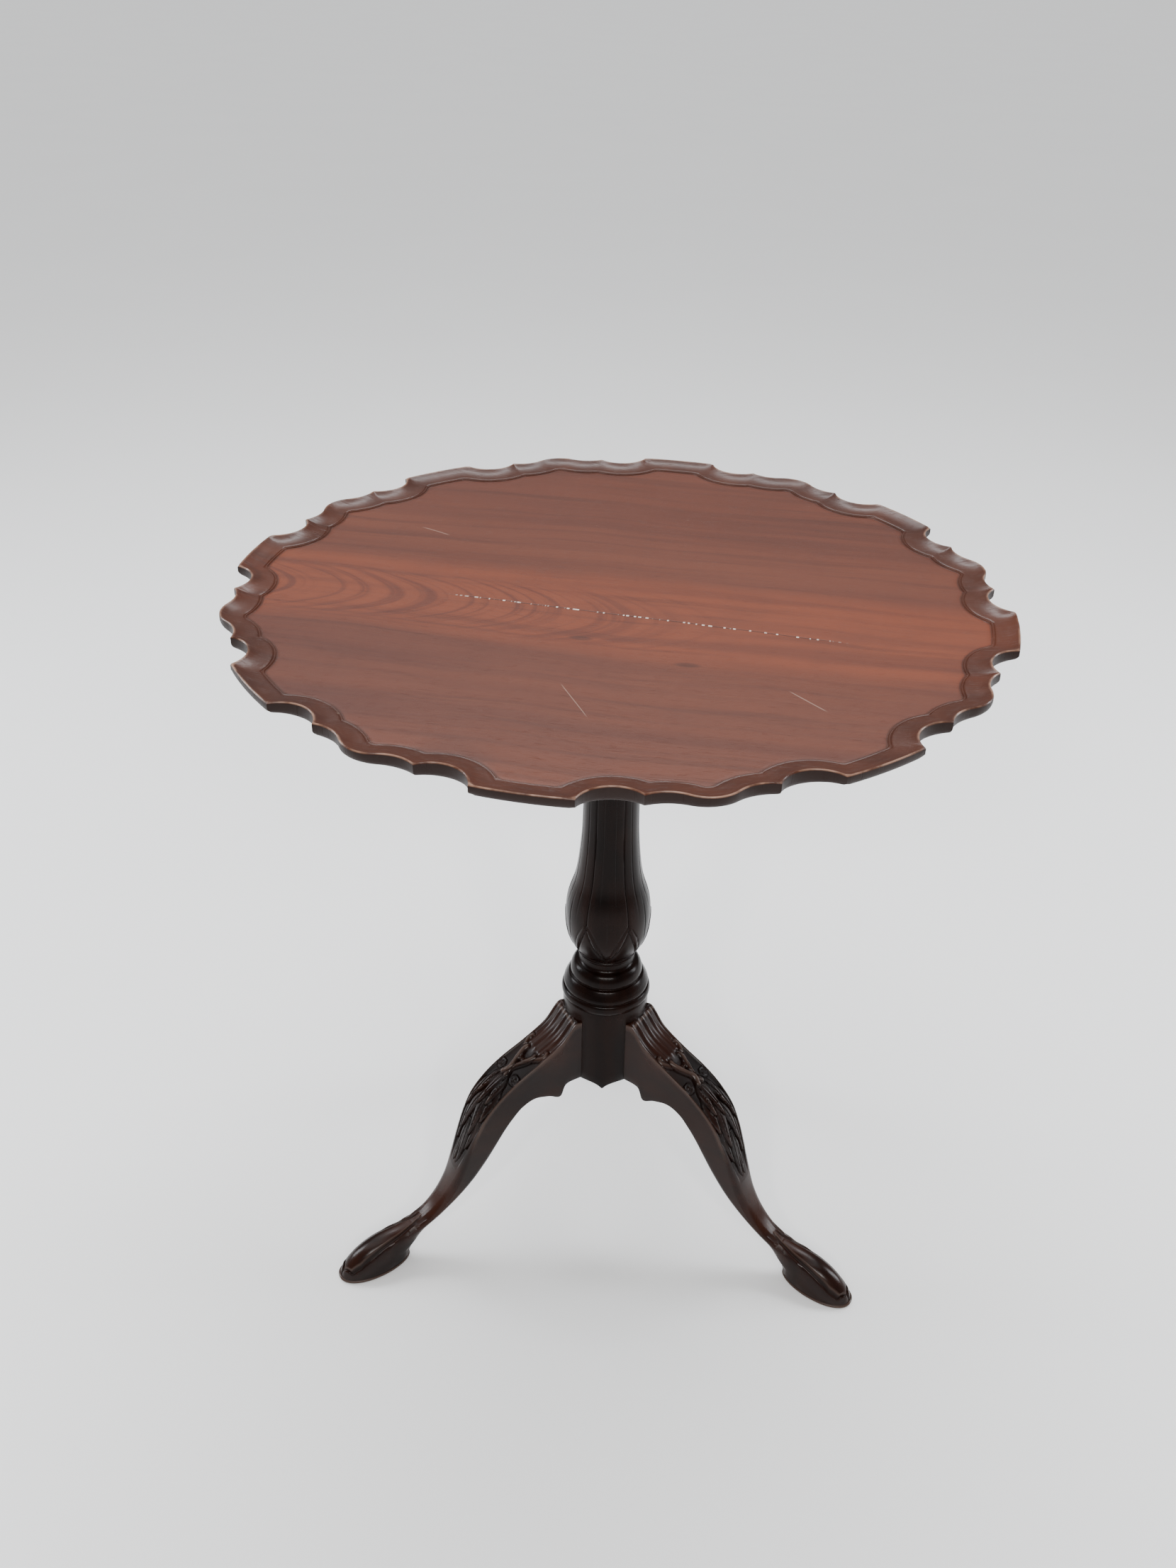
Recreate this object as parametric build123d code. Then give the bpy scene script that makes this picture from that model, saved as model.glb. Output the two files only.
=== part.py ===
"""Tilt top table: a dished, scalloped round top that swings up on a block over a tripod column.

Millimetres. The origin is on the floor under the column's axis and +Z is up. The grain of the top
and the hinge pintles run along X. The hinge is at the front (-Y) and the catch at the back (+Y).
"""
from build123d import *
import os
from math import cos, radians, sin, sqrt

# Whole table
TABLE_HEIGHT = 720.0
TOP_RADIUS = 332.0

# Board: dished field, raised rim, underside bevelled to a thinner edge
BOARD_THICKNESS = 20.0
DISH_DEPTH = 6.0
RIM_WIDTH = 22.0
RIM_CREST = 2.0
EDGE_THICKNESS = 9.0
BEVEL_WIDTH = 60.0

# Scalloped outline, repeated round the top: angles from the middle of a lobe, depths inside the corners
SCALLOP_COUNT = 8
SCALLOP_PHASE = 34.83
LOBE_HALF_ANGLE = 6.27
HOLLOW_ANGLE = 10.07
HOLLOW_DEPTH = 18.0
CUSP_ANGLE = 14.2
CUSP_DEPTH = 8.3
DIP_ANGLE = 16.5
DIP_DEPTH = 11.6
CREST_DEPTH = 1.3

# Block and pintles
PIVOT_Y = -65.0
PIVOT_DROP = 17.0
PINTLE_RADIUS = 9.0
BLOCK_WIDTH = 170.0
BLOCK_BACK = 75.0
BLOCK_THICKNESS = 33.6
BLOCK_CHAMFER = 6.0
TOP_GAP = 0.4

# Bearers, screwed across the grain under the board
BEARER_THICKNESS = 24.0
BEARER_HEIGHT = 34.0
BEARER_END_HEIGHT = 12.0
BEARER_END_SLOPE = 60.0
BEARER_END_MARGIN = 14.0
SCREW_POCKET_RADIUS = 6.0
SCREW_POCKET_FLOOR = 2.0
SCREW_BITE = 9.5

# Column, from the drum up: ring heights are measured from the top of the legs
DRUM_RADIUS = 43.0
DRUM_BOTTOM = 178.0
DRUM_RECESS = 9.3
DRUM_WALL = 9.0
ARCH_RADIUS = 10.0
ARCH_ANGLE = 24.0
ARCH_RISE = 9.0
RING_RADIUS = 44.4
NECK_RADIUS = 25.0
VASE_RADIUS = 41.6
SHAFT_RADIUS = 26.0
CAPITAL_RADIUS = 35.0
CAPITAL_HEIGHT = 30.0
TENON_RADIUS = 20.0
WEDGE_WIDTH = 30.0
WEDGE_DEPTH = 26.0
WEDGE_HEAD = 5.0
WEDGE_TIP = 1.0

# Legs
LEG_COUNT = 3
LEG_PHASE = 89.34
LEG_TOP = 262.0
LEG_THICKNESS = 42.0
ANKLE_THICKNESS = 24.0
BLANK_MARGIN = 5.0
FOOT_TIP = 305.0
FOOT_LENGTH = 77.0
FOOT_WIDTH = 40.0
DOVETAIL_DEPTH = 10.0
DOVETAIL_ROOT = 14.0
DOVETAIL_TIP = 20.0
DOVETAIL_SHOULDER = 14.0

# Iron brace plate let in under the leg roots
BRACE_THICKNESS = 2.5
BRACE_ARM_WIDTH = 18.0
BRACE_ARM_END = 57.0
BRACE_DISC_RADIUS = 26.0
BRACE_SCREW_RADIUS = 48.0
BRACE_SCREW_LENGTH = 20.0

# Brass slide catch on the underside of the board, at the back of the block
CATCH_GAP = 4.0
CATCH_LENGTH = 56.0
CATCH_WIDTH = 40.0
CATCH_PLATE = 1.6
CATCH_SCREW_INSET = 7.0
BOLT_WIDTH = 14.0
BOLT_THICKNESS = 4.6
BOLT_LENGTH = 42.0
BOLT_TRAVEL = 9.0
BOLT_SETBACK = 3.0
BOLT_END_ROOM = 2.0
BOLT_FIT = 0.15
BOLT_EASE = 0.8
SPRING_ROOM = 1.4
SPRING_THICKNESS = 0.5
SPRING_LENGTH = 26.0
SPRING_WIDTH = 8.0
SPRING_FOOT = 4.0
SPRING_RAMP = 7.0
SPRING_SLACK = 0.1
COVER_WALL = 1.4
STEM_RADIUS = 2.4
STEM_OFFSET = 24.0
KNOB_RADIUS = 6.5
KNOB_HEIGHT = 9.0
STEM_LENGTH = 4.0
STEM_SLOT_MARGIN = 0.6
STRIKE_LENGTH = 40.0
STRIKE_THICKNESS = 1.5
STRIKE_SLOT_MARGIN = 0.6
MORTISE_MARGIN = 1.2

# Screws: shank radius, head radius, head height
BEARER_SCREW = (2.4, 4.6, 2.8)
BRACE_SCREW = (2.2, 4.2, 2.2)
CATCH_SCREW = (1.3, 2.4, 1.5)
CATCH_SCREW_LENGTH = 9.0
STRIKE_SCREW_LENGTH = 12.0
SCREW_SLOT_WIDTH = 0.7
SCREW_HOLE_DEPTH_MARGIN = 0.5

# Running and assembly clearances
PINTLE_FIT = 0.06
BEARER_SIDE_GAP = 0.5
PINTLE_END_GAP = 1.0
TENON_FIT = 0.05
SCREW_FIT = 0.05

# How far a cutting solid runs past what it cuts
PAST = 1.0

# Levels and places that follow from the sizes above
UNDERSIDE = TABLE_HEIGHT - BOARD_THICKNESS
FIELD = TABLE_HEIGHT - DISH_DEPTH
PIVOT_Z = UNDERSIDE - PIVOT_DROP
BLOCK_TOP = UNDERSIDE - TOP_GAP
BLOCK_BOTTOM = BLOCK_TOP - BLOCK_THICKNESS
NOSE_RADIUS = PIVOT_DROP - TOP_GAP
BLOCK_FRONT = PIVOT_Y - NOSE_RADIUS
BEARER_INNER = BLOCK_WIDTH / 2 + BEARER_SIDE_GAP
BEARER_OUTER = BEARER_INNER + BEARER_THICKNESS
DRUM_FLAT = sqrt(DRUM_RADIUS ** 2 - (LEG_THICKNESS / 2) ** 2)
DRUM_FLOOR = DRUM_BOTTOM + DRUM_RECESS
LEG_ANGLES = [LEG_PHASE + 360.0 / LEG_COUNT * k for k in range(LEG_COUNT)]
LEG_NAMES = ["leg_back", "leg_left", "leg_right"]
BOLT_TOP = UNDERSIDE - CATCH_PLATE - SPRING_ROOM
BOLT_BOTTOM = BOLT_TOP - BOLT_THICKNESS
BOLT_MIDDLE = BOLT_TOP - BOLT_THICKNESS / 2
BOLT_TIP = BLOCK_BACK + BOLT_SETBACK
CATCH_FRONT = BLOCK_BACK + CATCH_GAP
CATCH_BACK = CATCH_FRONT + CATCH_LENGTH
COVER_INNER = BOLT_WIDTH / 2 + BOLT_FIT
COVER_BOTTOM = BOLT_BOTTOM - BOLT_FIT - COVER_WALL
STEM_Y = BOLT_TIP + STEM_OFFSET


def polar(radius, angle, z=0.0):
    """Point at a radius and an angle in degrees from +X."""
    return Vector(radius * cos(radians(angle)), radius * sin(radians(angle)), z)


def box_between(low, high):
    """Box from its lowest corner to its highest corner."""
    size = [high[k] - low[k] for k in range(3)]
    middle = [(high[k] + low[k]) / 2 for k in range(3)]
    return Pos(*middle) * Box(*size)


def upright_cylinder(radius, bottom, top, x=0.0, y=0.0):
    """Vertical cylinder between two heights."""
    return Pos(x, y, (bottom + top) / 2) * Cylinder(radius, top - bottom)


def cross_cylinder(radius, start, end, y, z):
    """Cylinder along X between two places."""
    return Pos((start + end) / 2, y, z) * Rot(0, 90, 0) * Cylinder(radius, end - start)


def screw(sizes, length):
    """Round-headed wood screw: seat at the origin, point towards +Z, head below."""
    shank, head, height = sizes
    point = 3 * shank
    dome = ThreePointArc((0, -height), (0.75 * head, -0.62 * height), (head, 0))
    sides = Polyline((head, 0), (shank, 0), (shank, length - point), (0, length), (0, -height))
    body = revolve(make_face(Plane.XZ * (dome + sides)), Axis.Z)
    half_slot = SCREW_SLOT_WIDTH / 2
    slot = box_between((-head, -half_slot, -height - PAST), (head, half_slot, -0.6 * height))
    return body - slot


def screw_hole(sizes, length):
    """Clearance hole for a screw's shank, with room past its point."""
    return upright_cylinder(sizes[0] + SCREW_FIT, -SCREW_FIT, length + SCREW_HOLE_DEPTH_MARGIN)


def scallop_edges():
    """Arcs of the scalloped outline, in order round the top."""
    pitch = 360.0 / SCALLOP_COUNT
    crest_angle = pitch / 2
    swell_angle = (DIP_ANGLE + crest_angle) / 2
    swell_depth = (DIP_DEPTH + CREST_DEPTH) / 2
    edges = []
    for k in range(SCALLOP_COUNT):
        middle = SCALLOP_PHASE + pitch * k

        def point(angle, depth):
            return polar(TOP_RADIUS - depth, middle + angle)

        corner = point(LOBE_HALF_ANGLE, 0)
        cusp = point(CUSP_ANGLE, CUSP_DEPTH)
        swell = point(swell_angle, swell_depth)
        next_swell = point(pitch - swell_angle, swell_depth)
        next_cusp = point(pitch - CUSP_ANGLE, CUSP_DEPTH)
        next_corner = point(pitch - LOBE_HALF_ANGLE, 0)
        edges += [
            ThreePointArc(point(-LOBE_HALF_ANGLE, 0), point(0, 0), corner),
            ThreePointArc(corner, point(HOLLOW_ANGLE, HOLLOW_DEPTH), cusp),
            ThreePointArc(cusp, point(DIP_ANGLE, DIP_DEPTH), swell),
            ThreePointArc(swell, point(crest_angle, CREST_DEPTH), next_swell),
            ThreePointArc(next_swell, point(pitch - DIP_ANGLE, DIP_DEPTH), next_cusp),
            ThreePointArc(next_cusp, point(pitch - HOLLOW_ANGLE, HOLLOW_DEPTH), next_corner),
        ]
    return edges


def make_tabletop():
    """Dished board with a scalloped, raised and coved rim, and a bevelled underside."""
    outline = make_face(Wire(scallop_edges()))
    board = extrude(Pos(0, 0, UNDERSIDE) * outline, BOARD_THICKNESS)
    edge_bottom = TABLE_HEIGHT - EDGE_THICKNESS
    blank = Polyline(
        (0, UNDERSIDE),
        (TOP_RADIUS - BEVEL_WIDTH, UNDERSIDE),
        (TOP_RADIUS, edge_bottom),
        (TOP_RADIUS + PAST, edge_bottom),
        (TOP_RADIUS + PAST, TABLE_HEIGHT),
        (0, TABLE_HEIGHT),
        close=True,
    )
    board = board & revolve(make_face(Plane.XZ * blank), Axis.Z)
    crest_line = offset(outline, amount=-RIM_CREST, kind=Kind.INTERSECTION)
    field_line = offset(outline, amount=-RIM_WIDTH, kind=Kind.INTERSECTION)
    dish_bottom = Pos(0, 0, FIELD) * field_line.face()
    dish_top = Pos(0, 0, TABLE_HEIGHT) * crest_line.face()
    dish = loft([dish_bottom, dish_top], ruled=True)
    board = board - dish
    hole = screw_hole(BEARER_SCREW, bearer_screw_length())
    for x in (-bearer_middle(), bearer_middle()):
        for y in bearer_screw_places():
            board -= Pos(x, y, screw_seat()) * hole
    for x, y in catch_screw_places():
        board -= Pos(x, y, catch_screw_seat()) * screw_hole(CATCH_SCREW, CATCH_SCREW_LENGTH)
    return board


def bearer_middle():
    """Distance of a bearer's centre line from the middle of the table."""
    return (BEARER_INNER + BEARER_OUTER) / 2


def bearer_half_length():
    """Half a bearer's length: it stays on the flat of the underside."""
    flat = TOP_RADIUS - BEVEL_WIDTH - BEARER_END_MARGIN
    return sqrt(flat ** 2 - BEARER_OUTER ** 2)


def bearer_screw_places():
    """Distances along a bearer of its four screws, clear of the pintle and the sloped ends."""
    outer = bearer_half_length() - BEARER_END_SLOPE / 2
    inner = (outer - PIVOT_Y) / 2
    return [-outer, -inner - SCREW_POCKET_RADIUS, inner, outer]


def screw_seat():
    """Height at which the bearer screws' heads sit, at the foot of their pockets."""
    return UNDERSIDE - BEARER_END_HEIGHT + SCREW_POCKET_FLOOR


def bearer_screw_length():
    """From the head's seat into the board, short of the field."""
    return UNDERSIDE - screw_seat() + SCREW_BITE


def make_bearer(side):
    """Batten with sloped ends, bored for a pintle and for its screws."""
    half = bearer_half_length()
    low = UNDERSIDE - BEARER_HEIGHT
    end = UNDERSIDE - BEARER_END_HEIGHT
    profile = Polyline(
        (-half, UNDERSIDE),
        (-half, end),
        (-half + BEARER_END_SLOPE, low),
        (half - BEARER_END_SLOPE, low),
        (half, end),
        (half, UNDERSIDE),
        close=True,
    )
    start = BEARER_INNER if side > 0 else -BEARER_OUTER
    bearer = extrude(Plane.YZ.offset(start) * make_face(profile), BEARER_THICKNESS)
    hole = PINTLE_RADIUS + PINTLE_FIT
    ends = sorted((side * (BEARER_INNER - PAST), side * (BEARER_OUTER + PAST)))
    bearer -= cross_cylinder(hole, ends[0], ends[1], PIVOT_Y, PIVOT_Z)
    for y in bearer_screw_places():
        x = side * bearer_middle()
        bearer -= upright_cylinder(SCREW_POCKET_RADIUS, low - PAST, screw_seat(), x, y)
        bearer -= Pos(x, y, screw_seat()) * screw_hole(BEARER_SCREW, bearer_screw_length())
    return bearer


def make_bearer_screws(side):
    """The four screws that hold one bearer to the board."""
    one = screw(BEARER_SCREW, bearer_screw_length())
    x = side * bearer_middle()
    return Compound([Pos(x, y, screw_seat()) * one for y in bearer_screw_places()])


def make_pivot_block():
    """Block with a rounded hinge nose, two pintles, the column's mortise and the catch mortise."""
    nose = Pos(0, PIVOT_Y, PIVOT_Z) * Rot(0, 90, 0) * Cylinder(NOSE_RADIUS, BLOCK_WIDTH)
    behind = box_between((-BLOCK_WIDTH / 2, PIVOT_Y, BLOCK_BOTTOM), (BLOCK_WIDTH / 2, BLOCK_BACK, BLOCK_TOP))
    below = box_between((-BLOCK_WIDTH / 2, BLOCK_FRONT, BLOCK_BOTTOM), (BLOCK_WIDTH / 2, PIVOT_Y, PIVOT_Z))
    block = nose + behind + below
    block = chamfer(block.faces().sort_by(Axis.Z)[0].edges(), BLOCK_CHAMFER)
    pintle_end = BEARER_OUTER - PINTLE_END_GAP
    block += cross_cylinder(PINTLE_RADIUS, -pintle_end, pintle_end, PIVOT_Y, PIVOT_Z)
    block -= upright_cylinder(TENON_RADIUS + TENON_FIT, BLOCK_BOTTOM - PAST, BLOCK_TOP + PAST)
    mortise_half = BOLT_WIDTH / 2 + MORTISE_MARGIN
    reach = BOLT_TRAVEL - BOLT_SETBACK + BOLT_END_ROOM
    block -= box_between(
        (-mortise_half, BLOCK_BACK - reach, BOLT_BOTTOM - MORTISE_MARGIN),
        (mortise_half, BLOCK_BACK + PAST, BOLT_TOP + MORTISE_MARGIN),
    )
    block -= strike_blank()
    for x in strike_screw_places():
        block -= strike_screw_frame(x) * screw_hole(CATCH_SCREW, STRIKE_SCREW_LENGTH)
    return block


def strike_blank():
    """Outer block of the strike plate, let in flush with the block's back and top."""
    low = 2 * BOLT_MIDDLE - BLOCK_TOP
    return box_between(
        (-STRIKE_LENGTH / 2, BLOCK_BACK - STRIKE_THICKNESS, low),
        (STRIKE_LENGTH / 2, BLOCK_BACK, BLOCK_TOP),
    )


def strike_screw_places():
    """Places of the strike plate's two screws along X."""
    x = (BOLT_WIDTH / 2 + STRIKE_LENGTH / 2) / 2
    return [-x, x]


def strike_screw_frame(x):
    """Seat of a strike screw on the plate's face, pointing into the block."""
    return Pos(x, BLOCK_BACK, BOLT_MIDDLE) * Rot(90, 0, 0)


def make_strike_plate():
    """Flat brass keeper with the slot that the bolt enters."""
    half = BOLT_WIDTH / 2 + STRIKE_SLOT_MARGIN
    slot = box_between(
        (-half, BLOCK_BACK - STRIKE_THICKNESS - PAST, BOLT_BOTTOM - STRIKE_SLOT_MARGIN),
        (half, BLOCK_BACK + PAST, BOLT_TOP + STRIKE_SLOT_MARGIN),
    )
    plate = strike_blank() - slot
    for x in strike_screw_places():
        plate -= strike_screw_frame(x) * screw_hole(CATCH_SCREW, STRIKE_SCREW_LENGTH)
    return plate


def column_profile():
    """Half outline of the turned column, from the drum up to the block and back down the axis."""
    ring = LEG_TOP
    neck = LEG_TOP + 71
    vase = LEG_TOP + 106
    waist = LEG_TOP + 231
    capital = BLOCK_BOTTOM - CAPITAL_HEIGHT
    drum = Line((DRUM_RADIUS, DRUM_BOTTOM), (DRUM_RADIUS, ring + 14))
    bead = ThreePointArc(drum @ 1, (RING_RADIUS, ring + 20), (DRUM_RADIUS - 2, ring + 26))
    ovolo = ThreePointArc(bead @ 1, (DRUM_RADIUS - 4, ring + 36), (DRUM_RADIUS - 10, ring + 45))
    upper_bead = ThreePointArc(ovolo @ 1, (DRUM_RADIUS - 9.5, ring + 51), (NECK_RADIUS + 2, ring + 57))
    cove = ThreePointArc(upper_bead @ 1, (NECK_RADIUS - 1, ring + 63), (NECK_RADIUS + 1.5, neck - 3))
    fillet = Line(cove @ 1, (NECK_RADIUS + 2.5, neck))
    bulb = ThreePointArc(fillet @ 1, (VASE_RADIUS - 3, neck + 15), (VASE_RADIUS, vase))
    neck_in = (VASE_RADIUS + SHAFT_RADIUS) / 2
    throat = Spline(bulb @ 1, (neck_in, vase + 50), (SHAFT_RADIUS, waist), tangents=[(0, 1), (0, 1)])
    shaft = Line(throat @ 1, (SHAFT_RADIUS - 2, capital))
    collar = ThreePointArc(shaft @ 1, (SHAFT_RADIUS + 4, capital + 5), (SHAFT_RADIUS - 1, capital + 10))
    flare = ThreePointArc(collar @ 1, (SHAFT_RADIUS + 2, capital + 20), (CAPITAL_RADIUS, BLOCK_BOTTOM - 5))
    rest = Polyline(
        flare @ 1,
        (CAPITAL_RADIUS, BLOCK_BOTTOM),
        (TENON_RADIUS, BLOCK_BOTTOM),
        (TENON_RADIUS, BLOCK_TOP),
        (0, BLOCK_TOP),
        (0, DRUM_BOTTOM),
        (DRUM_RADIUS, DRUM_BOTTOM),
    )
    return [drum, bead, ovolo, upper_bead, cove, fillet, bulb, throat, shaft, collar, flare, rest]


def make_wedge():
    """Tapered wedge that spreads the tenon in the block."""
    profile = Polyline(
        (-WEDGE_HEAD / 2, BLOCK_TOP),
        (-WEDGE_TIP / 2, BLOCK_TOP - WEDGE_DEPTH),
        (WEDGE_TIP / 2, BLOCK_TOP - WEDGE_DEPTH),
        (WEDGE_HEAD / 2, BLOCK_TOP),
        close=True,
    )
    return extrude(Plane.YZ * make_face(profile), WEDGE_WIDTH / 2, both=True)


def dovetail():
    """Tongue of a leg: wider at its tip, open at the bottom, stopped below the leg's top."""
    profile = Polyline(
        (DRUM_FLAT, -DOVETAIL_ROOT / 2),
        (DRUM_FLAT - DOVETAIL_DEPTH, -DOVETAIL_TIP / 2),
        (DRUM_FLAT - DOVETAIL_DEPTH, DOVETAIL_TIP / 2),
        (DRUM_FLAT, DOVETAIL_ROOT / 2),
        close=True,
    )
    height = LEG_TOP - DOVETAIL_SHOULDER - DRUM_FLOOR
    return extrude(Pos(0, 0, DRUM_FLOOR) * make_face(profile), height)


def brace_arm(clearance=0.0):
    """One arm of the brace plate, along +X."""
    half = BRACE_ARM_WIDTH / 2
    low = DRUM_FLOOR - BRACE_THICKNESS
    return box_between((0, -half, low - clearance), (BRACE_ARM_END, half, DRUM_FLOOR))


def make_column():
    """Turned column: flats and dovetail sockets for the legs, an arched lower edge, a wedged tenon."""
    column = revolve(make_face(Plane.XZ * Wire(Wire.combine(column_profile())[0].edges())), Axis.Z)
    column -= upright_cylinder(DRUM_RADIUS - DRUM_WALL, DRUM_BOTTOM - PAST, DRUM_FLOOR)
    bay = 360.0 / LEG_COUNT
    arch_middle = DRUM_BOTTOM + ARCH_RISE - ARCH_RADIUS
    for angle in LEG_ANGLES:
        side = box_between(
            (DRUM_FLAT, -LEG_THICKNESS / 2, DRUM_BOTTOM - PAST),
            (DRUM_RADIUS + PAST, LEG_THICKNESS / 2, LEG_TOP),
        )
        column -= Rot(0, 0, angle) * side
        column -= Rot(0, 0, angle) * dovetail()
        column -= Rot(0, 0, angle) * brace_arm(DRUM_RECESS)
        for turn in (-ARCH_ANGLE, ARCH_ANGLE):
            inside = DRUM_RADIUS - DRUM_WALL - PAST
            arch = cross_cylinder(ARCH_RADIUS, inside, DRUM_RADIUS + PAST, 0, arch_middle)
            column -= Rot(0, 0, angle + bay / 2 + turn) * arch
    column -= make_wedge()
    column -= Pos(0, 0, DRUM_FLOOR - BRACE_THICKNESS) * screw_hole(BRACE_SCREW, BRACE_SCREW_LENGTH)
    return column


def leg_side_face():
    """Side outline of a leg in X and Z, drawn in shares of its reach and of its height."""
    reach = FOOT_TIP - DRUM_FLAT
    heel = FOOT_TIP - FOOT_LENGTH

    def at(across, up):
        return (DRUM_FLAT + across * reach, up * LEG_TOP)

    cusp = (DRUM_RADIUS + 17, DRUM_BOTTOM - 8)
    shoulder = ThreePointArc(at(0, 1), at(0.04, 0.945), at(0.11, 0.9))
    top = Spline(shoulder @ 1, at(0.30, 0.795), at(0.44, 0.62), at(0.505, 0.42), at(0.59, 0.25), (heel, 43))
    instep = (FOOT_TIP - 40, 37)
    toe = (FOOT_TIP - 16, 20)
    foot = Spline(top @ 1, instep, toe, (FOOT_TIP, 3), tangents=[top % 1, (0, -1)])
    sole = Polyline(foot @ 1, (FOOT_TIP, 0), (heel, 0), (heel - 1, 20))
    under = Spline(sole @ 1, at(0.575, 0.19), at(0.395, 0.42), at(0.30, 0.62), at(0.185, 0.695))
    return make_face(
        Plane.XZ
        * Wire([
            shoulder,
            top,
            foot,
            *sole.edges(),
            under,
            Line(under @ 1, cusp),
            ThreePointArc(cusp, (DRUM_RADIUS + 9, DRUM_BOTTOM + 6.5), (DRUM_FLAT, DRUM_BOTTOM + ARCH_RISE)),
            Line((DRUM_FLAT, DRUM_BOTTOM + ARCH_RISE), at(0, 1)),
        ])
    )


def leg_plan_face():
    """Plan outline of a leg: full width at the root and knee, slim at the ankle, with a long oval foot."""
    inside = DRUM_FLAT - BLANK_MARGIN
    root = LEG_THICKNESS / 2
    ankle = ANKLE_THICKNESS / 2
    foot_middle = FOOT_TIP - FOOT_LENGTH / 2
    knee = DRUM_FLAT + 0.30 * (FOOT_TIP - DRUM_FLAT)
    ankle_x = FOOT_TIP - FOOT_LENGTH - 6
    between = ((knee + ankle_x) / 2, (root + ankle) / 2 + 1)
    side = Spline((knee, root), between, (ankle_x, ankle), tangents=[(1, 0), (1, 0)])
    half = make_face(
        Wire([
            Line((inside, 0), (inside, root)),
            Line((inside, root), (knee, root)),
            side,
            Line(side @ 1, (foot_middle, ankle)),
            Line((foot_middle, ankle), (foot_middle, 0)),
            Line((foot_middle, 0), (inside, 0)),
        ])
    )
    return half + mirror(half, Plane.XZ) + Pos(foot_middle, 0) * Ellipse(FOOT_LENGTH / 2, FOOT_WIDTH / 2)


def make_leg():
    """Cabriole leg along +X: sawn to its side and plan outlines, with its dovetail tongue."""
    blank = extrude(leg_side_face(), LEG_THICKNESS / 2 + BLANK_MARGIN, both=True)
    leg = blank & extrude(Pos(0, 0, -BLANK_MARGIN) * leg_plan_face(), LEG_TOP + 2 * BLANK_MARGIN)
    leg += dovetail()
    leg -= brace_arm(LEG_THICKNESS)
    seat = Pos(BRACE_SCREW_RADIUS, 0, DRUM_FLOOR - BRACE_THICKNESS)
    leg -= seat * screw_hole(BRACE_SCREW, BRACE_SCREW_LENGTH)
    return leg


def brace_screw_frames():
    """Seats of the brace screws: one under each leg and one under the column."""
    low = DRUM_FLOOR - BRACE_THICKNESS
    legs = [Pos(*polar(BRACE_SCREW_RADIUS, angle, low)) for angle in LEG_ANGLES]
    return legs + [Pos(0, 0, low)]


def make_brace_plate():
    """Iron spider: a disc with an arm under each leg root."""
    plate = upright_cylinder(BRACE_DISC_RADIUS, DRUM_FLOOR - BRACE_THICKNESS, DRUM_FLOOR)
    for angle in LEG_ANGLES:
        plate += Rot(0, 0, angle) * brace_arm()
    for frame in brace_screw_frames():
        plate -= frame * screw_hole(BRACE_SCREW, BRACE_SCREW_LENGTH)
    return plate


def catch_screw_places():
    """Four screws at the corners of the catch plate."""
    x = (COVER_INNER + COVER_WALL + CATCH_WIDTH / 2) / 2
    rows = (CATCH_FRONT + CATCH_SCREW_INSET, CATCH_BACK - CATCH_SCREW_INSET)
    return [(side * x, y) for side in (-1, 1) for y in rows]


def catch_screw_seat():
    """Height of the catch screws' heads, under the cover's flanges."""
    return UNDERSIDE - CATCH_PLATE - COVER_WALL


def make_catch_plate():
    """Flat brass plate against the board."""
    half = CATCH_WIDTH / 2
    low = UNDERSIDE - CATCH_PLATE
    plate = box_between((-half, CATCH_FRONT, low), (half, CATCH_BACK, UNDERSIDE))
    for x, y in catch_screw_places():
        plate -= Pos(x, y, catch_screw_seat()) * screw_hole(CATCH_SCREW, CATCH_SCREW_LENGTH)
    return plate


def make_catch_cover():
    """Hat-shaped brass cover: a channel for the bolt between two screwed flanges, slotted for the stem."""
    seat = UNDERSIDE - CATCH_PLATE
    outer = COVER_INNER + COVER_WALL
    half = CATCH_WIDTH / 2
    cover = box_between((-half, CATCH_FRONT, seat - COVER_WALL), (half, CATCH_BACK, seat))
    cover += box_between((-outer, CATCH_FRONT, COVER_BOTTOM), (outer, CATCH_BACK, seat))
    cover -= box_between(
        (-COVER_INNER, CATCH_FRONT - PAST, COVER_BOTTOM + COVER_WALL),
        (COVER_INNER, CATCH_BACK - COVER_WALL, seat + PAST),
    )
    slot = STEM_RADIUS + STEM_SLOT_MARGIN
    for y in (STEM_Y - BOLT_TRAVEL, STEM_Y):
        cover -= upright_cylinder(slot, COVER_BOTTOM - PAST, COVER_BOTTOM + COVER_WALL + PAST, 0, y)
    cover -= box_between(
        (-slot, STEM_Y - BOLT_TRAVEL, COVER_BOTTOM - PAST),
        (slot, STEM_Y, COVER_BOTTOM + COVER_WALL + PAST),
    )
    for x, y in catch_screw_places():
        cover -= Pos(x, y, catch_screw_seat()) * screw_hole(CATCH_SCREW, CATCH_SCREW_LENGTH)
    return cover


def make_catch_bolt():
    """Flat brass bolt, withdrawn, with its leading edge eased."""
    half = BOLT_WIDTH / 2
    bolt = box_between((-half, BOLT_TIP, BOLT_BOTTOM), (half, BOLT_TIP + BOLT_LENGTH, BOLT_TOP))
    return chamfer(bolt.faces().sort_by(Axis.Y)[0].edges(), BOLT_EASE)


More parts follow.
